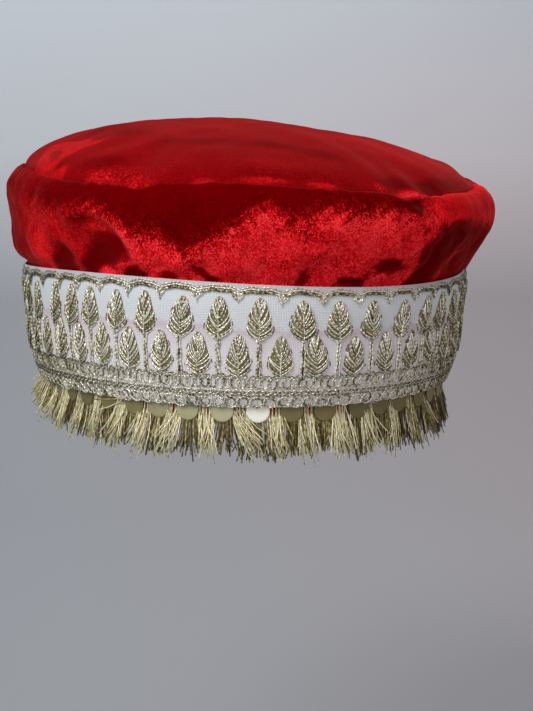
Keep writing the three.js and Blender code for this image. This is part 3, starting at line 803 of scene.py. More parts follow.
def tip_points(turns, share):
    """Points of the tip, rings x bearings, at shares of the way from the middle to the seam."""
    share = np.asarray(share, float)[:, None]
    inset = swells(EAR_TUCK, turns, seam_height(turns)) - GAP
    rim = oval(turns, PUFF_ROWS[-1][1] + inset, ribbon_top(turns) + seam_height(turns))
    points = rim * np.ones((len(share), 1, 1))
    points[..., 0] = rim[:, 0] * share + TIP_APEX_X * (1 - share**2)
    points[..., 1] = rim[:, 1] * share
    middle = RIBBON_TOP + SEAM_RISE
    dome = TIP_RISE * np.clip(1 - share**2, 0, 1) ** compass(TIP_ROUNDNESS, turns)
    points[..., 2] = middle + (rim[:, 2] - middle) * share**5 + dome
    for table, held in ((TIP_FOLDS, 1.0), (TIP_SWELLS, 1 - share**40)):
        for bearing, part_way, reach, depth in table:
            centre = oval(math.radians(bearing), 0, 0) * part_way
            away = np.hypot(points[..., 0] - centre[0], points[..., 1] - centre[1])
            points[..., 2] += held * depth * bell(away / reach)
    return points


def velvet_tip():
    """Tip panel: a soft dome that drops steeply into the seam, puckered by its stitches."""
    shares = (1 - (1 - np.linspace(0, 1, TIP_ROWS)) ** TIP_CROWD)[1:]
    top = tip_points(TURNS, shares)
    x, y = top[..., 0], top[..., 1]
    soft = 0.3 * np.sin(x / 9 + 1.4 * np.sin(y / 17)) * np.sin(y / 11 + 0.8)
    soft += 0.16 * np.sin(x / 4.3 + y / 7.1 + 1.0) + 0.1 * np.sin(y / 3.1 - x / 5.3)
    top[..., 2] += soft * (1 - shares[:, None] ** 8)
    inward = 1 - shares[:, None]
    dip = TIP_DIP * bell(inward / TIP_DIP_REACH) * np.clip(inward / TIP_DIP_START, 0, 1)
    top[..., 2] -= dip * (0.6 + 0.4 * puckers(67, 2.2, 8, 11, 1))
    thick = [0, 0, VELVET_THICK]
    under = tip_points(TURNS, shares[::INNER_STEP]) - thick
    turned = [top[-1] * [wider, wider, 1] - [0, 0, lower] for wider, lower in (ALLOWANCE, ROLLED)]
    rings = np.concatenate([under, turned, top[::-1]])
    points, (quads,) = skin(rings)
    first, last = len(points), len(points) + 1
    crown = tip_points(TURNS[:1], [0.0])[0]
    points = np.concatenate([points, crown - thick, crown])
    start = np.arange(AROUND)
    end = start + (len(rings) - 1) * AROUND
    under_fan = np.stack([np.full(AROUND, first), np.roll(start, -1), start], -1)
    top_fan = np.stack([np.full(AROUND, last), end, np.roll(end, -1)], -1)
    inside = np.arange(len(quads)) // AROUND < len(under)
    faces = [(quads[~inside], 0), (quads[inside], 1), (under_fan, 1), (top_fan, 0)]
    lay, crush = painted_tip_light(points)
    made = (points, faces, {"lay": lay, "crush": crush})
    return piece("velvet_tip", [made], [VELVET, VELVET_BACK], ["crown_tip"])


# Ribbon and its gilt embroidery

RIBBON_EDGE = 0.8  # mm at its two edges where the ribbon thins to half
LEAF_COUNT = 42
LEAF_PITCH = GIRTH / LEAF_COUNT
# Drift of the hand-sewn leaves along the ribbon: run, mm for the upper and the lower row, and how
# far the tips of the upper row lean
LEAF_DRIFT = [
    (-150, 0, 0, 0), (-128.5, 0.6, 2.9, 3), (-114, 4.6, 2, 3.2), (-99.5, 2.4, 1.3, 3),
    (-84.8, 0.6, 0.2, 1.8), (-70, 0, -0.9, 1.6), (-55, -0.9, -1.4, 0.8), (-41, -1.4, -1.7, 2),
    (-33, -1.4, -1.7, 1), (-19, -1.3, -1.2, 0), (-11, -1.1, -1.2, 0), (-4, -0.3, -0.3, 0),
    (3.5, 0.6, -1, 0), (10.5, 0.1, -1.7, 0), (18, -0.5, -1.2, -0.2), (33, -1, -0.9, 0.2),
    (47, -1.5, -1.4, 1.6), (62, -1.8, -2.6, 1.4), (77, -4, -3.6, 0.5), (100, -3, -3, 0),
    (130, 0, 0, 0),
]


def drifted(run, column):
    """A column of the drift table at runs along the ribbon."""
    return columns(LEAF_DRIFT, wrapped(run))[column - 1]


FIRST_LEAF = -11.3
EVEN_RUNS = FIRST_LEAF + LEAF_PITCH * np.arange(LEAF_COUNT)
UPPER_RUNS = EVEN_RUNS + drifted(EVEN_RUNS, 1)
LOWER_RUNS = EVEN_RUNS + LEAF_PITCH / 2 + drifted(EVEN_RUNS + LEAF_PITCH / 2, 2)
LEAF_TALL, LEAF_HALF, UPPER_FOOT, LOWER_FOOT = 15.6, 4.5, 25.0, 11.9
# Outline of a leaf: share of the way up, share of the half width
LEAF_UP = [0, 0.05, 0.12, 0.23, 0.41, 0.6, 0.78, 0.89, 0.96, 1]
LEAF_WIDTH = [0.08, 0.4, 0.72, 1.0, 0.95, 0.79, 0.58, 0.43, 0.24, 0.06]
LEAF_EDGE, LEAF_SWELL, BED_SUNK, BED_FOOT = 0.15, 0.75, 0.14, -0.25  # mm out from the ribbon
# Strands on each half of a leaf, and how far one rises from its root on the midrib, as
# shares of the leaf
BARBS = 15
BARB_ROOTS, BARB_RISES = [0.0, 0.15, 0.4, 0.62, 0.86], [0.17, 0.27, 0.36, 0.33, 0.13]
BARB_HIGHEST, BARB_WANDER, LEAF_OVER = 0.985, 0.16, 1.08
# Threads of the leaves: half width, half thickness, and how much less of both at the tip
BARB_HALF, BARB_THICK, BARB_THINS = 0.25, 0.3, (0.03, 0.04)
RIB_HALF, RIB_THICK, RIB_FROM, RIB_TO, RIB_LIFT = 0.28, 0.3, -0.02, 0.6, 0.15
PEEPS, PEEP_HALF, PEEP_THICK, PEEP_LIFT, PEEP_OUT = 3, 0.17, 0.15, 0.16, 0.3
# How uneven the hand work is: width, height, lean and foot of a leaf, then root, rise and reach
# of a strand
LEAF_UNEVEN, BARB_UNEVEN = (0.04, 0.015, 0.025, 0.15), (0.02, 0.03, 0.1)
# Painted shade of the gilt threads towards the sides and back of the cap: bearing in radians,
# drop in tone
GILT_SHADE = [(-np.pi, 0.32), (-1.35, 0.3), (-0.75, 0), (0.5, 0), (1.1, 0.4), (np.pi, 0.32)]
STEM_FOOT, STEM_INTO_LEAF, STEM_WAVE, STEM_SWAY, STEM_FLARE = 11.4, 0.8, 6.1, 0.2, 0.35
# Strands of a stem, the dark middle one as painted shade: mm to the side, lift, half width, tone
STEM_STRANDS = [(-0.55, 0.45, 0.32, 0.6), (0.55, 0.45, 0.32, 0.54), (0.0, 0.3, 0.34, 0.24)]
SCALLOP_UP, SCALLOP_ARCH, SCALLOP_STEPS, CORD_TWIST = 41.6, 1.3, 20, 3.4
# Strands of the cord along the top: mm up, start of its twist, half width, tones at crest and tip
SCALLOP_STRANDS = [
    (0, 0, 0.46, -0.1, 0.4), (0, np.pi, 0.46, 0.0, 0.45), (0.95, 1, 0.26, 0.5, 0.7),
    (1.8, 4, 0.2, 0.45, 0.55),
]
# Stitches of the small tips between the arches, by where they begin
TIP_BEGINS, TIP_UP, TIP_LONG, TIP_STITCH = (-2.0, -1.1, 0.0, 1.1, 2.0), 41.5, 3.1, 0.28
SMALL_LOOPS, LARGE_LOOPS, SMALL_STEPS, LARGE_STEPS, CORD_STEPS = 220, 122, 12, 10, 24
SMALL_UP, SMALL_TALL, SMALL_REACH, LARGE_UP, LARGE_TALL = 9.3, 1.9, 1.5, 2.2, 1.9
# Rings in the loops: mm up, half width, half height, half thread, tone, unevenness
RING_POINTS = 16
SMALL_RINGS = (9.35, 1.42, 1.8, 0.29, 0.26, 0.1)
LARGE_RINGS = [(2.1, 2.5, 2.1, 0.28, 0.46, 0.14), (2.1, 1.7, 1.4, 0.25, 0.24, 0.2)]
# Half widths of the looping thread, the cords over it, the couched cords and the waving thread
LOOP_HALF, OVER_HALF, COUCHED_HALF, WAVING_HALF, CORD_SWAY = 0.18, 0.22, 0.25, 0.26, 0.36
# Cords over the small loops, and the couched ones below: mm up, phase, tone
OVER_CORDS = [(11.5, 0.0, 0.35), (11.9, 2.4, -0.05)]
COUCHED_CORDS = [(4.7, 1.0, 0.1), (5.3, 0.0, 0.45), (5.9, 2.0, 0.0), (6.5, 4.0, 0.5)]


def ribbon():
    up = np.linspace(0, 1, RIBBON_ROWS)
    inset = through(RIBBON_UP, RIBBON_INSET, up)[:, None]
    level = ribbon_level(TURNS, up[:, None])
    edge = np.minimum(1, np.minimum(up, 1 - up)[:, None] * RIBBON_HEIGHT / RIBBON_EDGE)
    outer = oval(TURNS, -inset, level)
    inner = oval(TURNS, -inset - RIBBON_THICK * (0.5 + 0.5 * edge), level)[::-1]
    run = np.interp(TURNS, RIBBON_TURNS, RIBBON_RUNS)
    ups = np.concatenate([up, up[::-1]])
    marks = {"up": np.repeat(ups, AROUND), "run": np.tile(run, len(ups))}
    mesh = skin(np.concatenate([outer, inner]), joined=True)
    return piece("ribbon", [part(mesh, **marks)], [RIBBON], ["trim_ribbon"])


def gilt(run, up, lift, wide, thick, tone, sides=5, ring=False, finish=0):
    """Threads laid on the ribbon along runs and heights (threads x points)."""
    run, up, lift = np.broadcast_arrays(run, up, lift)
    paths = on_ribbon(run, up, lift)
    steps = np.linalg.norm(np.diff(paths, axis=1), axis=-1)
    along = np.concatenate([dice.uniform(0, 9, (len(paths), 1)), steps], 1).cumsum(1)
    tone = np.asarray(tone, float)
    tone = tone if tone.ndim == 2 else tone.reshape(-1, 1)
    # Painted shade: the threads darken towards the sides and back of the cap
    tone = tone - columns(GILT_SHADE, bearing_at(run))[0]
    return strands(paths, ribbon_out(run, up), wide, thick, tone, along, sides, ring, finish)


def hoop(run, up, lift, half, tone, flat=1.0, sides=5):
    """One gilt cord all the way round the ribbon."""
    run, up, lift, tone = (x[None] for x in np.broadcast_arrays(run, up, lift, tone))
    return gilt(run, up, lift, half, half * flat, tone, sides, True)


def round_steps(count):
    """Even runs round the ribbon."""
    return GIRTH * np.arange(count) / count


def leaf_half(up):
    return LEAF_HALF * np.clip(through(LEAF_UP, LEAF_WIDTH, up), 0.02, None)


def leaf_lift(across, up):
    return LEAF_EDGE + LEAF_SWELL * np.sqrt(np.clip(1 - (across / leaf_half(up)) ** 2, 0, 1))


def leaves(name, runs, foot, leaning):
    """A row of leaves: an olive bed, a midrib, and curved strands that run up and out of it."""
    count, parts = len(runs), []
    each, strand, peep = (count, 1, 1), (count, 2 * BARBS), (count, PEEPS, 1)
    wide, tall, lean, feet = (dice.normal(0, uneven, each) for uneven in LEAF_UNEVEN)
    lean = leaning.reshape(each) / LEAF_TALL + lean

    def place(across, up):
        run = runs[:, None, None] + across * (1 + wide) + lean * up * LEAF_TALL
        return run, foot + feet + up * LEAF_TALL * (1 + tall)

    def lay_down(across, up, lift, half, thick, tone, sides=5, finish=0):
        across, up, lift, tone = np.broadcast_arrays(across, up, lift, tone + np.zeros(each))
        laid = [x.reshape(-1, x.shape[-1]) for x in (*place(across, up), lift, tone)]
        parts.append(gilt(*laid[:3], half, thick, laid[3], sides, False, finish))

    # Strands
    side = np.repeat([-1.0, 1.0], BARBS)[None, :, None]
    root = np.tile(BARB_ROOTS[-1] * np.linspace(0, 1, BARBS) ** 1.2, 2)
    root = root + dice.normal(0, BARB_UNEVEN[0], strand)
    rising = np.interp(root, BARB_ROOTS, BARB_RISES) + dice.normal(0, BARB_UNEVEN[1], strand)
    tip = np.clip(root + rising, 0, BARB_HIGHEST)[..., None]
    root, s = root[..., None], np.linspace(0, 1, 7)
    up = np.clip(root + (tip - root) * s**1.15, 0, 1)
    reach = leaf_half(tip) * dice.normal(1.0, BARB_UNEVEN[2], strand)[..., None]
    across = reach * (1 - (1 - s) ** 1.6) + BARB_WANDER * np.sin(9 * up + 5 * tip)
    across = side * np.minimum(across, LEAF_OVER * leaf_half(up))
    tone = dice.normal(0.44, 0.18, (*strand, 1)) + 0.12 * s
    lift = leaf_lift(across, up) + dice.normal(0.12, 0.1, (*strand, 1))
    half, thick = BARB_HALF - BARB_THINS[0] * s, BARB_THICK - BARB_THINS[1] * s
    lay_down(across, up, lift, half, thick, tone)
    # Midrib
    s = np.linspace(RIB_FROM, RIB_TO, 8)
    wiggle = BARB_WANDER * np.sin(7 * s + dice.uniform(0, 6, each))
    lift = leaf_lift(0 * s, np.clip(s, 0, 1)) + RIB_LIFT
    lay_down(wiggle, s, lift, RIB_HALF, RIB_THICK, dice.normal(0.35, 0.2, each))
    # Red threads that peep out at the edges
    spots = dice.uniform(0.05, 0.7, peep)
    s = spots + dice.uniform(0.06, 0.18, peep) * np.linspace(0, 1, 4)
    across = dice.choice([-1.0, 1.0], peep) * (LEAF_OVER * leaf_half(s) + PEEP_OUT)
    lay_down(across, s, PEEP_LIFT, PEEP_HALF, PEEP_THICK, 0.0, 4, 2)
    # Bed, dark olive as painted shade between the strands
    grid = np.linspace(0.01, 0.99, 12), np.linspace(-1.0, 1.0, 7)
    up, across = np.meshgrid(*grid, indexing="ij")
    across = across * leaf_half(up)
    lift = leaf_lift(across, up) - BED_SUNK
    for run, high in zip(*place(across, up)):
        bed = slab(on_ribbon(run, high, lift), on_ribbon(run, high, 0 * up + BED_FOOT))
        parts.append(part(bed, 1))
    return piece(name, parts, [ZARI, BED, RED_THREAD])


def stems():
    """Two pale strands side by side under each upper leaf, with a dark one sunk between them as
    painted shade.
    """
    s, each, parts = np.linspace(0, 1, 15), (LEAF_COUNT, 1), []
    up = STEM_FOOT + (UPPER_FOOT + STEM_INTO_LEAF - STEM_FOOT) * s
    for side, lift, half, tone in STEM_STRANDS:
        bend = STEM_SWAY * np.sin(2 * np.pi * up / STEM_WAVE + dice.uniform(0, 6, each))
        run = UPPER_RUNS[:, None] + side * (1 + STEM_FLARE * (1 - s) ** 2) + bend
        worn = dice.normal(tone, 0.14, each) + 0.2 * np.sin(up + dice.uniform(0, 6, each))
        parts.append(gilt(run, up, lift, half, half, worn))
    return piece("leaf_stems", parts, [ZARI])


def scallops():
    """Cord along the top of the ribbon, in shallow arches that meet in small tips."""
    start = EVEN_RUNS[0] + LEAF_PITCH / 2
    even = start + round_steps(LEAF_COUNT * SCALLOP_STEPS)
    way = np.abs(2 * ((even - start) / LEAF_PITCH % 1) - 1)
    run = even + drifted(even, 1)
    arch = SCALLOP_UP + SCALLOP_ARCH * (1 - way**2.4)
    arch = arch + 0.15 * np.sin(run * 0.9) + 0.12 * np.sin(run * 0.37 + 1)
    parts, twists = [], round(GIRTH / CORD_TWIST)
    for high, turn, half, crest, tip in SCALLOP_STRANDS:
        twist, sway = 2 * np.pi * even / (GIRTH / twists) + turn, 0.45 * half
        up, lift = arch + high + sway * np.cos(twist), 0.5 + 0.7 * sway * np.sin(twist)
        tone = toward(crest, tip, way**2) + 0.15 * np.sin(run * 0.7 + turn)
        parts.append(hoop(run, up, lift, half, tone, 0.85, 6))
    s, each = np.linspace(0, 1, 7), (LEAF_COUNT, 1)
    tips = start + LEAF_PITCH * np.arange(LEAF_COUNT)
    tips = (tips + drifted(tips, 1))[:, None]
    for begin in TIP_BEGINS:
        wobble = dice.normal(0, 0.2, each)
        across = begin * (1 - s**1.2) + wobble * np.sin(np.pi * s)
        up = TIP_UP - (TIP_LONG - 0.5 * abs(begin) + dice.normal(0, 0.3, each)) * s
        lift = 0.35 + 0.35 * np.sin(np.pi * np.clip(s + 0.1, 0, 1))
        beaded = TIP_STITCH * (1 - 0.25 * s) * (1 + 0.25 * np.cos(12 * s + begin))
        tone = dice.normal(0.45, 0.2, LEAF_COUNT)
        parts.append(gilt(tips + across, up, lift, beaded, beaded, tone))
    return piece("scallop_cord", parts, [ZARI])


def ringed(count, high, reach, tall, half, tone, uneven):
    """A row of small couched rings along the ribbon, each a little uneven."""
    angle, each = 2 * np.pi * np.arange(RING_POINTS) / RING_POINTS, (count, 1)
    middle = (GIRTH * (np.arange(count) + 0.5) / count)[:, None] + dice.normal(0, uneven, each)
    run = middle + (reach + dice.normal(0, uneven, each)) * np.cos(angle)
    up = high + dice.normal(0, uneven, each) + (tall + dice.normal(0, uneven, each)) * np.sin(angle)
    lift = 0.3 + 0.14 * np.sin(2 * angle + dice.uniform(0, 6, each))
    worn = dice.normal(tone, 0.16, each) + 0.25 * np.sin(angle + dice.uniform(0, 6, each))
    return gilt(run, up, lift, half, half, worn, 5, True)


def looped_rows():
    """The two rows of couched loops along the foot of the ribbon, and the cords between."""
    # One thread that loops along the small row, over rings
    run = round_steps(SMALL_LOOPS * SMALL_STEPS)
    angle = 2 * np.pi * np.arange(len(run)) / SMALL_STEPS
    uneven = 0.2 * np.sin(angle * 0.37) + 0.16 * np.sin(angle * 0.113 + 1)
    up = SMALL_UP + 0.6 * uneven + (SMALL_TALL + 0.6 * uneven) * np.cos(angle)
    around = run - (SMALL_REACH + uneven) * np.sin(angle)
    worn = 0.52 + 0.22 * np.sin(angle * 0.71) + 0.15 * np.sin(2 * angle)
    upper = [hoop(around, up, 0.45 + 0.2 * np.sin(angle), LOOP_HALF, worn)]
    upper.append(ringed(SMALL_LOOPS, *SMALL_RINGS))
    # Cords, the upper ones raised a little under each leaf and stem
    run = EVEN_RUNS[0] + round_steps(LEAF_COUNT * CORD_STEPS)
    step = (run - EVEN_RUNS[0] + LEAF_PITCH / 4) % (LEAF_PITCH / 2) - LEAF_PITCH / 4
    wave = 2 * np.pi * run / (GIRTH / SMALL_LOOPS)
    for high, phase, tone in OVER_CORDS:
        up = high + CORD_SWAY * np.sin(wave + phase) + 0.7 * bell(step / 1.3)
        upper.append(hoop(run, up, 0.45, OVER_HALF, tone))
    cords = []
    for high, phase, tone in COUCHED_CORDS:
        up = high + CORD_SWAY * np.sin(wave + phase) + 0.16 * np.sin(0.31 * wave + 2 * phase)
        lift = 0.36 + 0.16 * np.sin(2 * wave + phase)
        worn = tone + 0.25 * np.sin(1.7 * wave + phase)
        cords.append(hoop(run, up, lift, COUCHED_HALF, worn))
    # The large row: two rings in each loop and a thread that waves through them
    lower = [ringed(LARGE_LOOPS, *rings) for rings in LARGE_RINGS]
    run = round_steps(LARGE_LOOPS * LARGE_STEPS)
    wave = 2 * np.pi * run / (GIRTH / LARGE_LOOPS)
    up = LARGE_UP + LARGE_TALL * np.sin(wave + 0.6 * np.sin(wave))
    lower.append(hoop(run, up, 0.5, WAVING_HALF, 0.5))
    return (
        piece("small_loops", upper, [ZARI]),
        piece("couched_cords", cords, [ZARI]),
        piece("large_loops", lower, [ZARI]),
    )


# Coins and fringe

COIN_COUNT, COIN_START, COIN_RADIUS, COIN_INSET = 45, 0.1, 4.4, 7.8
COIN_HOLE_RADIUS, COIN_HOLE_DROP, COIN_SHOW, COIN_SWING = 0.75, 1.7, 6.1, 6.0
# Coins sewn a little off the even spacing: number, mm along
COIN_SHIFTS = {3: 2.2, 5: -1.5, 39: -1.2, 41: 1.4, 43: -1.1}
# Section of a coin from the sewing hole to the rim and back: share of the way, depth
COIN_SECTION = [
    (0, 0.1), (0, 0.4), (0.05, 0.5), (0.4, 0.45), (0.8, 0.46), (0.93, 0.5), (1, 0.4), (1, 0.1),
    (0.95, 0), (0.5, 0.04), (0.05, 0),
]
# Coins with painted light, the cream one a painted reflection and the darker ones painted shade:
# number, tone
COIN_TONES = {
    38: 0.08, 39: 0.1, 40: 0.14, 41: 0.2, 42: 0.36, 43: 0.46, 44: 0.54, 45: 1.0,
    1: 0.14, 2: 0.14, 3: 0.08, 4: 0.1, 5: 0.1, 6: 0.1,
}
COIN_SIDES, COIN_DULL = 36, (0.14, 0.32)
# Tie of a coin: half thread, half sizes of its loop, and where the loop's middle is from the hole
TIE_HALF, TIE_OUT, TIE_SIDE, TIE_UP = 0.26, 0.55, 0.25, 1.15
TIE_AHEAD, TIE_ABOVE, TIE_POINTS = 0.25, 0.95, 12
TAPE_INSET, TAPE_SEWN, TAPE_HIGH = 8.6, 4.2, 8.0
LOCK_DROP, LOCK_SPLAY, LOCK_UNEVEN = 18.0, 7.0, 1.6
# How the fringe hangs round the cap: bearing, share of its flare and of its lean, mm cut shorter
FRINGE_HANG = [
    (-180, 0.85, 1, 0), (-130, 0.85, 1, 0), (-98, 0.7, 0.4, 4.5), (-70, 0.6, 0.5, 1.5),
    (-45, 0.6, 1.15, 0), (36, 0.6, 1.15, 0), (62, 0.4, 0.5, 0), (85, 0.28, 0.4, 2),
    (110, 0.3, 0.5, 2), (140, 0.85, 1, 0), (180, 0.85, 1, 0),
]
# Sideways sweep in mm of the fans nearest the eye, by their number from the front
FAN_LEANS = {40: -0.5, 41: -2.5, 42: 1.0, 43: 6.0, 44: 1.5, 0: 0.0, 1: 0.5, 2: 0.5}
# Threads behind each coin: count, half width, mm that they spread to each side of it. Then those
# of a fan between two coins: count, half width, mm of its columns, share that strays
BACK_THREADS, BACK_HALF, BACK_SPAN = 42, 0.36, 4.3
FAN_THREADS, FAN_HALF, FAN_COLUMNS, FAN_WILD = 32, 0.28, [-2.4, -1.2, 0.1, 1.3, 2.5], 0.1
THREAD_SIDES, THREAD_POINTS, THREAD_THICK, THREAD_ROOT, THREAD_FREE = 4, 5, 0.12, 2.5, 0.25
THREAD_DEPTH, THREAD_CURL, THREAD_TURN = (-0.5, -0.05), 0.6, 0.7
# Painted shade of the fringe towards the right: the drop in tone, the bearing where it starts, how
# soon it is full, and the bearing in radians where it ends
FRINGE_SHADE, SHADE_FROM, SHADE_OVER, SHADE_TO = 0.62, 22, 36, 2.4


def frames(bearing):
    """Sideways and outward directions of the oval at each bearing."""
    x, y = BAND_HALF_WIDTH * np.cos(bearing), BAND_HALF_DEPTH * np.sin(bearing)
    sideways = unit(np.stack([x, y, 0 * bearing], -1))
    return sideways, np.stack([sideways[..., 1], -sideways[..., 0], 0 * bearing], -1)


def coins():
    """The coins with their sewing holes, and the thread loop that ties each one."""
    bearings = even_bearings(COIN_COUNT, -COIN_INSET, COIN_START)
    tones = dice.uniform(*COIN_DULL, COIN_COUNT)
    for number, along in COIN_SHIFTS.items():
        bearings[number - 1] += along / MEAN_RADIUS
    for number, tone in COIN_TONES.items():
        tones[number - 1] = tone
    hang = RIBBON_FOOT - COIN_SHOW + 2 * COIN_RADIUS - COIN_HOLE_DROP
    hole = oval(bearings, -COIN_INSET - COIN_THICK, hang)
    hole, sideways, outward = (x[:, None] for x in (hole, *frames(bearings)))
    swing = np.radians(COIN_SWING * np.sin(np.arange(COIN_COUNT) * 2.9))[:, None, None]
    angle = 2 * np.pi * np.arange(COIN_SIDES) / COIN_SIDES
    share, depth = np.array(COIN_SECTION[::-1]).T[..., None]
    radius = toward(COIN_HOLE_RADIUS, COIN_RADIUS, share)
    x = radius * np.cos(angle)
    z = radius * np.sin(angle) + (COIN_HOLE_DROP - COIN_RADIUS) * share
    across = (x * np.cos(swing) - z * np.sin(swing))[..., None]
    rings = hole[:, None] + across * sideways[:, None] + depth[..., None] * outward[:, None]
    rings[..., 2] += x * np.sin(swing) + z * np.cos(swing)
    tones = np.repeat(tones, rings[0].size // 3)
    turn = 2 * np.pi * np.arange(TIE_POINTS)[:, None] / TIE_POINTS
    ahead = TIE_AHEAD + TIE_OUT * np.cos(turn)
    loops = hole + outward * ahead + sideways * TIE_SIDE * np.sin(turn)
    loops[..., 2] += TIE_ABOVE + TIE_UP * np.sin(turn[:, 0])
    outs = np.broadcast_to(sideways, loops.shape)
    tied = part(threads(loops, outs, TIE_HALF, TIE_HALF, ring=True), tone=0.0)
    names = [f"coin_{i + 1:02d}" for i in range(COIN_COUNT)]
    piece("coins", [part(skin(rings, joined=True), tone=tones)], [BRASS], names)
    piece("coin_ties", [tied], [ZARI])


def hanging(bearing, root, lean, end, splay, tone, half):
    """Flat threads that hang from behind the ribbon, swing out past the coins and splay."""
    count, degrees = len(bearing), np.degrees(bearing)
    sideways, outward = frames(bearing)
    flare, sway, cut = columns(FRINGE_HANG, degrees)
    splay, lean, end = splay * flare, lean * sway, end + cut
    s = np.linspace(0, 1, THREAD_POINTS)
    free = np.clip((s - THREAD_FREE) / (1 - THREAD_FREE), 0, 1)
    top = RIBBON_FOOT + THREAD_ROOT
    out = dice.uniform(*THREAD_DEPTH, count)[:, None] + splay[:, None] * free**1.3
    curl = dice.normal(0, THREAD_CURL, count)[:, None] * np.sin(np.pi * free)
    across = root[:, None] + lean[:, None] * free**1.7 + curl
    paths = oval(bearing[:, None], -TAPE_INSET, top + (end[:, None] - top) * s)
    paths = paths + sideways[:, None] * across[..., None] + outward[:, None] * out[..., None]
    face = outward + sideways * dice.normal(0, THREAD_TURN, count)[:, None]
    outs = np.broadcast_to(face[:, None], paths.shape)
    along = dice.uniform(0, 9, (count, 1)) + (top - end)[:, None] * s
    # Painted shade, darker towards the right of the cap
    shade_drop = FRINGE_SHADE * np.clip((degrees - SHADE_FROM) / SHADE_OVER, 0, 1)
    tone = (tone - shade_drop * (np.abs(bearing) < SHADE_TO))[:, None]
    return strands(paths, outs, half, THREAD_THICK, tone, along, THREAD_SIDES)


def fringe():
    """Sewn tape behind the ribbon, straight threads behind the coins and fans between them."""
    low = RIBBON_FOOT - LOCK_DROP
    number = np.repeat(np.arange(COIN_COUNT), BACK_THREADS)
    count = len(number)
    root = dice.uniform(-BACK_SPAN, BACK_SPAN, count)
    # Threads behind the coins are a darker copy as painted shade, those of the fans a lighter one
    # as lit
    behind = hanging(
        even_bearings(COIN_COUNT, -COIN_INSET, COIN_START)[number], root,
        end=low + LOCK_UNEVEN * np.sin(number * 2.4) + dice.normal(0.8, 1.4, count),
        lean=0.6 * root + dice.normal(0, 1.2, count),
        splay=LOCK_SPLAY * np.clip(dice.normal(0.4, 0.22, count), 0.02, 0.9),
        tone=dice.normal(0.06, 0.2, count), half=BACK_HALF,
    )
    number = np.repeat(np.arange(COIN_COUNT), FAN_THREADS)
    count = len(number)
    bunch = dice.choice(FAN_COLUMNS, count) + dice.normal(0, 0.3, COIN_COUNT)[number]
    wild = dice.random(count) < FAN_WILD
    swing = dice.normal(0.4, 2.0, COIN_COUNT)
    swing[list(FAN_LEANS)] = list(FAN_LEANS.values())
    lean = swing[number] + dice.normal(0, 1.5, count) + wild * dice.normal(0, 5, count)
    before = hanging(
        even_bearings(COIN_COUNT, -COIN_INSET, COIN_START + 0.5)[number],
        end=low + 0.05 * lean**2 + dice.normal(0.9, 2.2, count),
        root=bunch + dice.normal(0, 0.2, count), lean=lean,
        splay=LOCK_SPLAY * np.clip(dice.normal(1, 0.25, count), 0.3, 1.4),
        tone=dice.normal(0.62, 0.26, count), half=FAN_HALF,
    )
    section = [(0, TAPE_SEWN), (0, TAPE_HIGH), (-TAPE_THICK, TAPE_HIGH), (-TAPE_THICK, TAPE_SEWN)]
    rings = np.array([oval(TURNS[::2], deep - TAPE_INSET, z) for deep, z in section])
    tape = part(skin(rings, joined=True), tone=0.0)
    made = [behind, before, tape]
    return piece("fringe_threads", made, [FRINGE], ["fringe"])


side_panel, tip_panel, band = velvet_side(), velvet_tip(), ribbon()
upper_leaves = leaves("upper_leaves", UPPER_RUNS, UPPER_FOOT, drifted(EVEN_RUNS, 3))
lower_leaves = leaves("lower_leaves", LOWER_RUNS, LOWER_FOOT, 0 * LOWER_RUNS)
stitched = [upper_leaves, lower_leaves, stems(), scallops(), *looped_rows()]
coins()
fringe()

# Studio, in metres: pale seamless backdrop, large soft lights, and the camera

FLOOR = -0.22
SWEEP_NEAR, SWEEP_START, SWEEP_RADIUS, SWEEP_HALF, SWEEP_TOP = -3.0, 0.7, 0.6, 3.0, 3.0
LIGHT_AIM = (0, 0, 0.05)
# Soft lights: name, place, size, power, colour
LIGHTS = [
    ("window", (-0.9, -0.9, 0.95), 0.9, 14.5, "#fffdf8"),
    ("room", (1.1, -1.0, 0.5), 1.2, 1.6, "#ffdec2"),
    ("low_front", (-0.3, -1.3, 0.0), 0.9, 1.8, "#fffaf4"),
    ("back_sky", (0.35, 0.75, 0.9), 0.8, 6.0, "#f8f9ff"),
]
# Camera at the photograph's place: image 533 x 711, focal length in pixels, shifts in mm
IMAGE_HIGH, FOCAL_PX, AWAY_MM, SENSOR = 711, 2000.0, 837.4, 36.0
TILT, ROLL, SWING = (math.radians(a) for a in (8.2, 0.53, 10.35))
SHIFT_ACROSS, SHIFT_UP = -10.17, -4.34


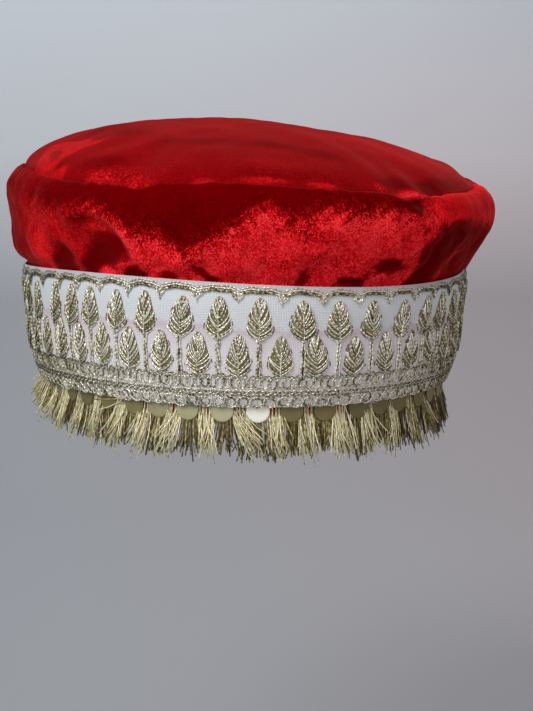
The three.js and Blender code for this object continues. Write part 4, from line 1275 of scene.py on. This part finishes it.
def backdrop():
    # Seamless studio paper with painted light: lighter towards the top of the sweep and warmer on
    # the right
    made, place = finish("pale_matt_paper", {"Roughness": 0.9, "Specular IOR Level": 0.1})
    high = add(made, "SeparateXYZ", {0: place}, "Z")
    across = add(made, "SeparateXYZ", {0: place}, "X")
    level = remap(made, high, FLOOR, 0.2, 0.0, 1.0)
    tint = ramp(
        made, level, (0.0, "#a4a8ab"), (0.3, "#a2a6aa"), (0.62, "#d0d5da"), (1.0, "#e3e8ee")
    )
    side = remap(made, across, -0.4, 0.4, 0.0, 1.0)
    low = remap(made, level, 0.5, 1.0, 1.0, 0.35)
    shift = add(made, "Math", {"operation": "MULTIPLY", 0: side, 1: low})
    warm = ramp(made, shift, (0.0, "#f4fcff"), (1.0, "#fff1ef"))
    toned = add(made, "VectorMath", {"operation": "MULTIPLY", 0: tint, 1: warm})
    join(made, {"Base Color": toned})
    bend = np.linspace(0, np.pi / 2, 16)
    far = SWEEP_START + SWEEP_RADIUS
    y = np.concatenate([[SWEEP_NEAR], SWEEP_START + SWEEP_RADIUS * np.sin(bend), [far]])
    z = np.concatenate([[0], SWEEP_RADIUS * (1 - np.cos(bend)), [SWEEP_TOP]]) + FLOOR
    points = [(x, *row) for row in zip(y, z) for x in (-SWEEP_HALF, SWEEP_HALF)]
    faces = np.arange(len(y) - 1)[:, None] * 2 + [0, 1, 3, 2]
    sheet = shape("backdrop", [part((np.array(points) / MM, [faces]))], [made])


def soft_light(name, place, size, power, colour):
    data = bpy.data.lights.new(name, "AREA")
    data.shape, data.size, data.energy = "DISK", size, power
    data.color = linear(colour)[:3]
    made = bpy.data.objects.new(name, data)
    made.location = place
    made.rotation_mode = "QUATERNION"
    made.rotation_quaternion = (Vector(LIGHT_AIM) - Vector(place)).to_track_quat("-Z", "Y")
    bpy.context.scene.collection.objects.link(made)


def soft_room():
    world = bpy.data.worlds.new("soft_room")
    world.use_nodes = True
    sky = world.node_tree.nodes["Background"].inputs
    sky["Color"].default_value, sky["Strength"].default_value = linear("#dddee2"), 0.5
    bpy.context.scene.world = world


def camera():
    turn = Matrix.Rotation(TILT, 3, "X") @ Matrix.Rotation(ROLL, 3, "Y")
    back = (turn @ Matrix.Rotation(SWING, 3, "Z")).transposed()
    right, ahead, up = (back @ Vector(a) for a in ((1, 0, 0), (0, 1, 0), (0, 0, 1)))
    place = Vector((0, 0, RIBBON_FOOT)) + back @ Vector((-SHIFT_ACROSS, -AWAY_MM, -SHIFT_UP))
    data = bpy.data.cameras.new("camera")
    data.sensor_width, data.lens = SENSOR, FOCAL_PX * SENSOR / IMAGE_HIGH
    data.clip_start, data.clip_end = 0.05, 20.0
    made = bpy.data.objects.new("camera", data)
    rows = [[right[i], up[i], -ahead[i], place[i] * MM] for i in range(3)]
    made.matrix_world = Matrix([*rows, [0, 0, 0, 1]])
    bpy.context.scene.collection.objects.link(made)
    bpy.context.scene.camera = made


backdrop()
for light in LIGHTS:
    soft_light(*light)
soft_room()
bpy.context.scene.view_settings.view_transform = "Standard"
camera()
